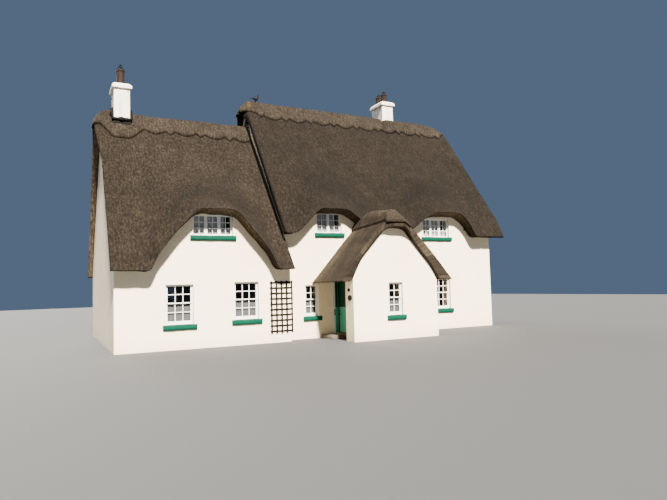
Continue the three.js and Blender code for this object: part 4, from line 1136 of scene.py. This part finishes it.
def porch_hood(name):
    """A saddle over the porch's top line: at each x it stands over the thatch by the hood's table, and by a
    low swell halfway back. Its lower edges are rounded on quarter circles, and its front comes down from
    the crown to a level lip on a quarter ellipse, over the verge's face."""
    turn = np.linspace(0, np.pi / 2, 6)
    x0, x1 = HOOD[0][0], HOOD[-1][0]
    x = np.concatenate([[x0], x0 + HOOD_ROUND * (1 - np.cos(turn)),
                        np.linspace(x0 + HOOD_ROUND, x1 - HOOD_ROUND, 30)[1:-1],
                        x1 - HOOD_ROUND * (1 - np.cos(turn))[::-1], [x1]])[None]
    low = np.concatenate([[1.0], 1 - np.sin(turn), np.zeros(28), (1 - np.sin(turn))[::-1], [1.0]])
    sunk = np.concatenate([[1.0], np.zeros(x.size - 2), [1.0]])
    nose = np.linspace(0, np.pi / 2, 14)
    y = np.concatenate([HOOD_FRONT_Y + HOOD_NOSE * (1 - np.cos(nose)),
                        np.linspace(HOOD_FRONT_Y + HOOD_NOSE, PORCH_HOUSE_Y, 30)[1:]])[:, None]
    rise = np.concatenate([np.sin(nose), np.ones(29)])[:, None]
    part = np.clip((y - PORCH_VERGE_Y) / (PORCH_HOUSE_Y - PORCH_VERGE_Y), 0, 1)
    at_verge, at_house = (np.interp(x, *rounded_line(line).T) for line in (PORCH_TOP_VERGE, PORCH_TOP_HOUSE))
    skin = at_verge * (1 - part) + at_house * part
    lip = np.minimum(skin - 0.02, HOOD_LIP_Z)
    crown = skin + eased(HOOD, x, 0.05) + eased(HOOD_SWELL, y, 0.1) * (low == 0) - HOOD_ROUND * low
    z_top = np.where(sunk > 0, np.minimum(skin - 0.03, lip + 0.01), lip + (crown - lip) * rise)
    z_in = np.where(y < PORCH_VERGE_Y + 0.02, lip - 0.02, skin - 0.18) + 0 * z_top
    ring_x = np.concatenate([x, x[:, -2:0:-1]], axis=1) + 0 * part
    off = np.abs(ring_x - (x0 + x1) / 2) / ((x1 - x0) / 2)
    ring_y = y + HOOD_CORNER * off ** 3 * np.clip(1 - (y - HOOD_FRONT_Y) / 1.2, 0, 1) ** 2
    rings, ends = (np.stack([ring_x, ring_y, np.concatenate([above, under[:, -2:0:-1]], axis=1)], axis=-1)
                   for above, under in ((z_top, z_in), ((z_top + z_in) / 2, (z_top + z_in) / 2)))
    points = capped(uneven(rings, 0.006), ends)
    forward = capped(run_of(np.stack([y[:, 0], z_top[:, x.size // 2]], axis=-1)))[:, None]
    uv = np.stack([forward + 0 * points[..., 0], np.abs(points[..., 0] - 9.7) * 1.3], axis=-1)
    # The dark mark on the lower edges and the first rows of the front is painted shade under the lip
    edges = np.concatenate([[1, 1, 1, 0.5], np.zeros(x.size - 8), [0.5], np.ones(x.size + 1)])
    cut = np.maximum(edges, np.clip(1 - np.arange(len(points)) / 4, 0, 1)[:, None])
    return ring_piece(name, points, cap_straw, uv, {"cut": cut, "pale_and_painted_light": 0.05 + 0 * cut})


hood = porch_hood("cap_porch")
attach(hood, "house")
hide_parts("porch_ridge_cap")


# Lead flashing
# Soft grey lead dressed round the left stack over its ridge cap, finished with a soft roll, and a strip
# dressed up the main gable where the left wing's thatch meets it.
def two_tone(name, roughness, broad_scale, fine_scale, dark, light, strength, distance, **fixed):
    """A finish whose fine patches run between two tones and stand up a little."""
    material, tree, shader = finish_of(name, roughness, **fixed)
    marks = weathered(tree, broad_scale, fine_scale).outputs["Fine"]
    coloured(tree, shader, ramp(tree, marks, [(0.3, dark), (0.7, light)]))
    raised(tree, shader, marks, strength, distance)
    return material


milled_lead = two_tone("milled_lead", 0.75, 2.0, 12.0, (0.0026, 0.0024, 0.0023), (0.0062, 0.0056, 0.0052),
                       0.5, 0.006, Specular_IOR_Level=0.08)
dress(["chimney_flashing_left"], milled_lead)
SADDLE_X = (0.405, 1.105)
SADDLE_Y = (4.125, 5.175)
SADDLE_UP = 0.24
SADDLE_BEND = 0.10
SADDLE_RADIUS = 0.075


def lead_saddle(name):
    """A soft roll of lead round the stack's foot: its path is a rectangle just outside the stack, at the
    cap's height, and its radius swells and shrinks slowly."""
    (x0, x1), (y0, y1) = SADDLE_X, SADDLE_Y
    corners = np.array([(x0, 4.65), (x0, y0), (x1, y0), (x1, y1), (x0, y1), (x0, 4.66)])
    length = run_of(corners)
    s = np.linspace(0, length[-1], 120)
    x, y = (np.interp(s, length, corners[:, k]) for k in (0, 1))
    slope = (LEFT["ridge_z"] - LEFT["eave_z"]) / (LEFT["ridge_y"] - LEFT["eave_y"])
    z = LEFT["ridge_z"] + SADDLE_UP - slope * (np.hypot(y - LEFT["ridge_y"], SADDLE_BEND) - SADDLE_BEND)
    radius = SADDLE_RADIUS * (1 + 0.25 * np.sin(9 * s) + 0.15 * np.sin(23 * s + 1))
    return add_piece(name, *tube(np.stack([x, y, z], axis=-1), radius, 10), milled_lead)


saddle = face_out(lead_saddle("lead_saddle"))
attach(saddle, "house")
STRIP_WALL_X = 6.1995
STRIP_THICK = 0.03
STRIP_UP = 0.38
STRIP_DOWN = 0.10


def lead_strip(name):
    """An upright sheet against the gable: along it, its foot and top run level with the wing's skin, or
    with the ridge cap where that lies over it, less one depth and plus one height, in slow ripples."""
    y = np.linspace(0.302, 9.298, 160)
    t = np.abs(y - LEFT["ridge_y"])
    base = slope_height(LEFT, np.full(160, 6.18), t) + 0.13 * np.clip((0.62 - t) / 0.1, 0, 1)
    top = base + STRIP_UP + 0.008 * np.sin(5.0 * y) + 0.005 * np.sin(13.0 * y)
    outer = STRIP_WALL_X - STRIP_THICK - 0.004 * np.sin(9.0 * y)
    inner = np.full(160, STRIP_WALL_X)
    profile = ((outer, base - STRIP_DOWN), (outer, top - 0.01), ((outer + inner) / 2, top),
               (inner, top - 0.01), (inner, base - STRIP_DOWN))
    rings = np.stack([np.stack([x, y, z], axis=-1) for x, z in profile], axis=1)
    return add_piece(name, *closed_skin(rings), milled_lead, smooth=False)


strip = face_out(lead_strip("lead_strip"))
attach(strip, "house")
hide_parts("gable_flashing")


# Chimney pots
# Eight-sided fired clay pots, one on the left stack and two on the right, bedded in mortar. Eight iron
# wires held by two hoops rise from each rim and meet under a spike, to keep birds out.
fired_clay, tree, shader = finish_of("fired_clay", 0.85, Specular_IOR_Level=0.1)
smoke = weathered(tree, 3.0, 16.0)
clay = ramp(tree, smoke.outputs["Fine"], [(0.3, (0.010, 0.0065, 0.0058)), (0.65, (0.027, 0.016, 0.0135))])
soot = span(tree, smoke.outputs["Broad"], 0.45, 0.7, 0.0, 0.6)
coloured(tree, shader, mixed(tree, soot, clay, (0.008, 0.007, 0.0068)))
raised(tree, shader, smoke.outputs["Fine"], 0.5, 0.004)
iron = two_tone("forged_iron", 0.6, 9.0, 70.0, (0.0022, 0.0022, 0.0024), (0.0085, 0.0080, 0.0080),
                0.4, 0.001, Specular_IOR_Level=0.06)
WIRE_RADIUS = 0.009
HOOP_RADIUS = 0.007
POTS = [
    # node, x, y, foot height, radius, height, guard height
    ("chimney_pot_left_1", 0.755, 4.65, 10.61, 0.163, 0.70, 0.31),
    ("chimney_pot_right_1", 13.895, 4.796, 11.60, 0.152, 0.45, 0.24),
    ("chimney_pot_right_2", 13.895, 5.316, 11.60, 0.152, 0.45, 0.24),
]


def pot_shell(x, y, foot, radius, tall):
    """Eight-sided pot: a profile of (radius, height) steps up the outside with a base roll and a rim, over
    the rim and down the bore, carried round in eight sides."""
    profile = np.array([(0.012, 0), (0.012, 0.05), (0, 0.065), (-0.004, tall - 0.10), (0.004, tall - 0.075),
                        (0.020, tall - 0.062), (0.020, tall - 0.012), (0.012, tall), (-0.022, tall),
                        (-0.030, tall - 0.012), (-0.030, 0.08)]) + (radius, 0)
    turn = np.arange(8) * np.pi / 4 + np.pi / 8
    rings = np.stack([x + profile[:, :1] * np.cos(turn), y + profile[:, :1] * np.sin(turn),
                      foot + profile[:, 1:] + 0 * turn], axis=-1)
    return closed_skin(rings)


def guard_of(x, y, rim, tip, radius):
    """Eight wires that lean in from the rim by a power of their height, two hoops round them, and a spike."""
    def at(part, turn):
        reach = (radius - 0.008) * (1 - part) ** 0.75
        return np.stack([x + reach * np.cos(turn), y + reach * np.sin(turn),
                         rim + (tip - 0.06 - rim) * part + 0 * turn], axis=-1)

    wires = [tube(at(np.linspace(0, 1, 12), turn), WIRE_RADIUS, 6) for turn in np.arange(8) * np.pi / 4]
    hoops = [tube(at(part, np.linspace(0, 2 * np.pi, 25)), HOOP_RADIUS, 6) for part in (0.30, 0.62)]
    point = np.linspace((x, y, tip - 0.11), (x, y, tip - 0.001), 5)
    spike = tube(point, [0.008, 0.008, 0.008, 0.006, 0.003], 6)
    return joined(*wires, *hoops, spike)


for node, x, y, foot, radius, tall, guard in POTS:
    pot = face_out(add_piece(node + "_fired", *pot_shell(x, y, foot, radius, tall), fired_clay, smooth=False))
    wires = guard_of(x, y, foot + tall - 0.01, foot + tall + guard, radius)
    guard_wires = face_out(add_piece(node + "_guard", *wires, iron, smooth=False))
    for piece in (pot, guard_wires):
        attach(piece, "house")
        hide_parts(node)


# Straw bird
# A small bird bound from bundled straw over a wire, pinned to the left end of the main ridge: a plump
# body on a short foot, a long beak to the left and a tail turned up.
BIRD_X = 6.725
BIRD_Y = 4.75
PERCH = 10.741
bird_line = np.array([(-0.335, 0.155), (-0.24, 0.158), (-0.16, 0.170), (-0.11, 0.182), (-0.06, 0.160),
                      (0.0, 0.142), (0.06, 0.142), (0.10, 0.175), (0.118, 0.25), (0.128, 0.33),
                      (0.132, 0.395)])
bird_girth = np.array([0.004, 0.009, 0.016, 0.036, 0.052, 0.074, 0.070, 0.044, 0.030, 0.026, 0.014])
s = np.linspace(0, 10, 61)
smooth_line = np.stack([eased(list(zip(range(11), bird_line[:, k])), s, 0.5) for k in (0, 1)], axis=-1)
bird_path = np.stack([BIRD_X + smooth_line[:, 0], BIRD_Y + 0 * s, PERCH + smooth_line[:, 1]], axis=-1)
bird_body = tube(bird_path, eased(list(zip(range(11), bird_girth)), s, 0.5), 14)
bird_foot = tube(np.linspace((BIRD_X, BIRD_Y, PERCH - 0.002), (BIRD_X, BIRD_Y, PERCH + 0.10), 5), 0.030, 10)
bound_straw, tree, shader = finish_of("bound_straw", 0.95, Specular_IOR_Level=0.1)
bundles = put(tree, "Mapping", Vector=put(tree, "TexCoord").outputs["Object"], Scale=(6.0, 60.0, 60.0))
stalk = put(tree, "TexNoise", Vector=bundles.outputs[0], Scale=1.0, Detail=4.0).outputs["Fac"]
coloured(tree, shader, ramp(tree, stalk, [(0.3, (0.0030, 0.0022, 0.0020)), (0.7, (0.0120, 0.0088, 0.0075))]))
raised(tree, shader, stalk, 0.8, 0.006)
bird = face_out(add_piece("bird_of_straw", *joined(bird_body, bird_foot), bound_straw))
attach(bird, "house")
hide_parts("straw_bird")


# Dark timber
# Tarred and weathered softwood: the barge timber under the porch's verge, the trellis by the wing's right
# corner, and short rafter feet that show under the right side of each raised eave.
tarred_wood = two_tone("tarred_wood", 0.9, 3.0, 34.0, (0.0045, 0.0034, 0.0027), (0.0150, 0.0115, 0.0088),
                       0.5, 0.004, Specular_IOR_Level=0.06)
BARGE_DEEP = 0.030
BARGE_TOP = 0.005
BARGE_FRONT_Y = -2.045
BARGE_BACK_Y = -1.955


def barge(name):
    """A flat timber under the verge: at each point of the coat's under line a rectangle, from the wall out
    and from the straw down by its depth, square to the line."""
    line = rounded_line(PORCH_UNDER_VERGE)
    line = line[(line[:, 0] > 7.86) & (line[:, 0] < 11.76)]
    ahead = np.gradient(line, axis=0)
    down = np.stack([ahead[:, 1], -ahead[:, 0]], axis=-1) / np.linalg.norm(ahead, axis=1, keepdims=True)
    corners = ((BARGE_BACK_Y, BARGE_TOP), (BARGE_BACK_Y, BARGE_DEEP),
               (BARGE_FRONT_Y, BARGE_DEEP), (BARGE_FRONT_Y, BARGE_TOP))
    rings = [np.insert(line + down * deep, 1, y, axis=1) for y, deep in corners]
    return add_piece(name, *closed_skin(np.stack(rings, axis=1)), tarred_wood, smooth=False)


barge_timber = face_out(barge("barge_timber"))
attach(barge_timber, "house")
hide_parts("porch_rafters")
TRELLIS_X = np.linspace(5.482, 6.302, 5)
TRELLIS_Z = np.linspace(0.39, 2.204, 10)
LATH = 0.066
laths = [[x, x + LATH, -0.043, -0.020, 0.34, 2.30] for x in TRELLIS_X]
laths += [[5.462, 6.385, -0.023, -0.001, z, z + LATH] for z in TRELLIS_Z]
trellis = timbers("trellis_laths", laths, tarred_wood, bevel=0.003)
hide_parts("trellis")
RAFTER_FEET = [(4.354, 0.0, 4.582), (4.768, 0.0, 4.094), (5.172, 0.0, 3.599),
               (9.22, 0.5, 4.91), (9.62, 0.5, 4.64), (10.0, 0.5, 4.39),
               (14.85, 0.5, 5.05), (15.10, 0.5, 4.80), (15.30, 0.5, 4.50)]
feet = timbers("rafter_feet", [[x - 0.045, x + 0.045, y - 0.13, y + 0.05, z - 0.06, z + 0.06]
                               for x, y, z in RAFTER_FEET], tarred_wood, bevel=0.006)
for piece in (trellis, feet):
    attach(piece, "house")


# Door frame
# A planed softwood frame in the door's green, built into the porch wall's opening; it takes the darker copy
# of that green, which is painted shade. Beside it against the main wall stand a white board and a green
# post, its lower half in the paler copy, which is painted sunlight, and its upper half in the darker one.
# One green paint in two copies: a dark copy that is painted shade and a pale copy that is painted sunlight
green_painted_shade = brushed_paint("green_painted_shade", (0.0010, 0.050, 0.028), (0.0018, 0.046, 0.027), 0.5, 0.2)
green_painted_sunlight = brushed_paint("green_painted_sunlight", (0.070, 0.370, 0.255), (0.095, 0.390, 0.285), 0.5, 0.2)
dress(["door_frame"], green_painted_shade)
DOOR_SPLIT = 1.19
SIDE_FOOT = 0.155
SIDE_TOP = 2.29
for label, x0, x1, z0, z1, paint, slot in (
    ("door_side_board", 8.315, 8.445, SIDE_FOOT, SIDE_TOP, white_paint, "white_timber"),
    ("door_side_post_low", 8.447, 8.562, SIDE_FOOT, DOOR_SPLIT, green_painted_sunlight, "green_paint"),
    ("door_side_post_high", 8.447, 8.562, DOOR_SPLIT + 0.001, SIDE_TOP, green_painted_shade, "green_paint"),
):
    board = timbers(label, [[x0, x1, 0.474, 0.4995, z0, z1]], paint, bevel=0.004)
    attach(board, "house")


# Half door
# Two leaves of upright tongued boards on ledges, each hung on two strap hinges on its inner face. Both
# leaves have one green paint: the upper leaf is in a darker copy of it, painted shade, and the lower leaf
# in a paler copy, painted sunlight. Each has a dark iron pull.
LEAF_OUTER = 8.60
LEAF_THICK = 0.045
LEAF_Y0 = -0.378
LEAF_Y1 = 0.422
LEAF_TOP = 2.262
LEAF_FOOT = 0.21
BOARDS = 6
BOARD_GAP = 0.003
HINGE_X = 8.657
HINGE_Y = -0.382


def leaf_boards(low, high):
    """Upright boards side by side and three ledges across their inner side, as boxes."""
    wide = (LEAF_Y1 - LEAF_Y0 + BOARD_GAP) / BOARDS
    at = LEAF_Y0 + wide * np.arange(BOARDS)
    boards = [[LEAF_OUTER, LEAF_OUTER + 0.022, y, y + wide - BOARD_GAP, low, high] for y in at]
    back = [[LEAF_OUTER + 0.020, LEAF_OUTER + 0.024, LEAF_Y0 + 0.004, LEAF_Y1 - 0.004, low + 0.004,
             high - 0.004]]
    ledges = [[LEAF_OUTER + 0.023, LEAF_OUTER + LEAF_THICK, LEAF_Y0 + 0.012, LEAF_Y1 - 0.012, z, z + 0.11]
              for z in (low + 0.11, (low + high) / 2 - 0.055, high - 0.22)]
    return np.array(boards + back + ledges)


def strap_hinge(z):
    """An eye round the pin and a flat strap along the leaf's inner face."""
    eye = tube(np.linspace((HINGE_X, HINGE_Y, z), (HINGE_X, HINGE_Y, z + 0.05), 4), 0.011, 12)
    inner = LEAF_OUTER + LEAF_THICK
    strap = [inner - 0.001, inner + 0.006, HINGE_Y, LEAF_Y0 + 0.16, z, z + 0.05]
    return eye, timber_mesh(timber_points([strap], 0.002))


def pull(z0, z1, y):
    """A bow handle: a half ellipse of round iron from one foot to the other."""
    turn = np.linspace(0, np.pi, 21)
    path = np.stack([LEAF_OUTER - 0.042 * np.sin(turn), y + 0 * turn,
                     (z0 + z1) / 2 - (z1 - z0) / 2 * np.cos(turn)], axis=-1)
    feet = [[LEAF_OUTER - 0.006, LEAF_OUTER + 0.001, y - 0.02, y + 0.02, z - 0.03, z + 0.03]
            for z in (z0, z1)]
    return tube(path, 0.008, 8), timber_mesh(timber_points(feet, 0.002))


for body, node, low, high, paint, pull_z in (
    ("lower_leaf", "door_lower_leaf", LEAF_FOOT, DOOR_SPLIT, green_painted_sunlight, (0.90, 1.05)),
    ("upper_leaf", "door_upper_leaf", DOOR_SPLIT + 0.008, LEAF_TOP, green_painted_shade, (1.30, 1.42)),
):
    leaf = timbers(node + "_boards", leaf_boards(low, high), paint, bevel=0.003)
    iron_parts = [*strap_hinge(low + 0.15), *strap_hinge(high - 0.20), *pull(*pull_z, 0.355)]
    fittings = face_out(add_piece(node + "_iron", *joined(*iron_parts), iron, smooth=False))
    for piece in (leaf, fittings):
        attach(piece, body)
        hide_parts(node)


# Doorstep
# One worn block of pale sandstone, its arrises rounded by feet.
step_stone, tree, shader = finish_of("step_stone", 0.9)
bedding = weathered(tree, 2.5, 30.0)
sand = ramp(tree, bedding.outputs["Fine"], [(0.3, (0.052, 0.040, 0.028)), (0.7, (0.105, 0.083, 0.060))])
coloured(tree, shader, sand)
raised(tree, shader, sums(tree, bedding.outputs["Broad"], 1.0, bedding.outputs["Fine"]), 0.5, 0.006)
worn_block = soft_block(7.822, 8.547, -0.418, 0.478, 0.002, 0.146, soft=0.02, waver=0.003)
step = face_out(add_piece("doorstep", *worn_block, step_stone))
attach(step, "house")
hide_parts("door_step")


# Plates by the door
# A blank oval cast iron plate and a smaller one over it, screwed to the porch's left face, and a thin iron
# latch keep on the white board beside the door.
PORCH_LEFT_X = 7.9495
PLATE_THICK = 0.018


def oval_plate(y, z, wide, high):
    """An oval plate on the porch's left face: rings of an ellipse from the wall out, the last ones drawn in
    by a rounded edge, and a shallow dish in the middle."""
    steps = np.array([(1.0, 0.0), (1.0, 0.6), (0.97, 0.85), (0.90, 1.0), (0.80, 1.0), (0.74, 0.7),
                      (0.0001, 0.7)])
    turn = np.linspace(0, 2 * np.pi, 49)[:-1]
    rings = np.stack([PORCH_LEFT_X - PLATE_THICK * steps[:, 1:] + 0 * turn,
                      y + wide / 2 * steps[:, :1] * np.cos(turn),
                      z + high / 2 * steps[:, :1] * np.sin(turn)], axis=-1)
    return closed_skin(rings)


latch_keep = timber_mesh(timber_points([[8.395, 8.425, 0.450, 0.475, 0.87, 1.11]], 0.003))
plate_parts = [oval_plate(-1.674, 1.599, 0.30, 0.22), oval_plate(-1.615, 1.889, 0.20, 0.14), latch_keep]
plates = face_out(add_piece("door_plates", *joined(*plate_parts), iron, smooth=False))
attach(plates, "house")
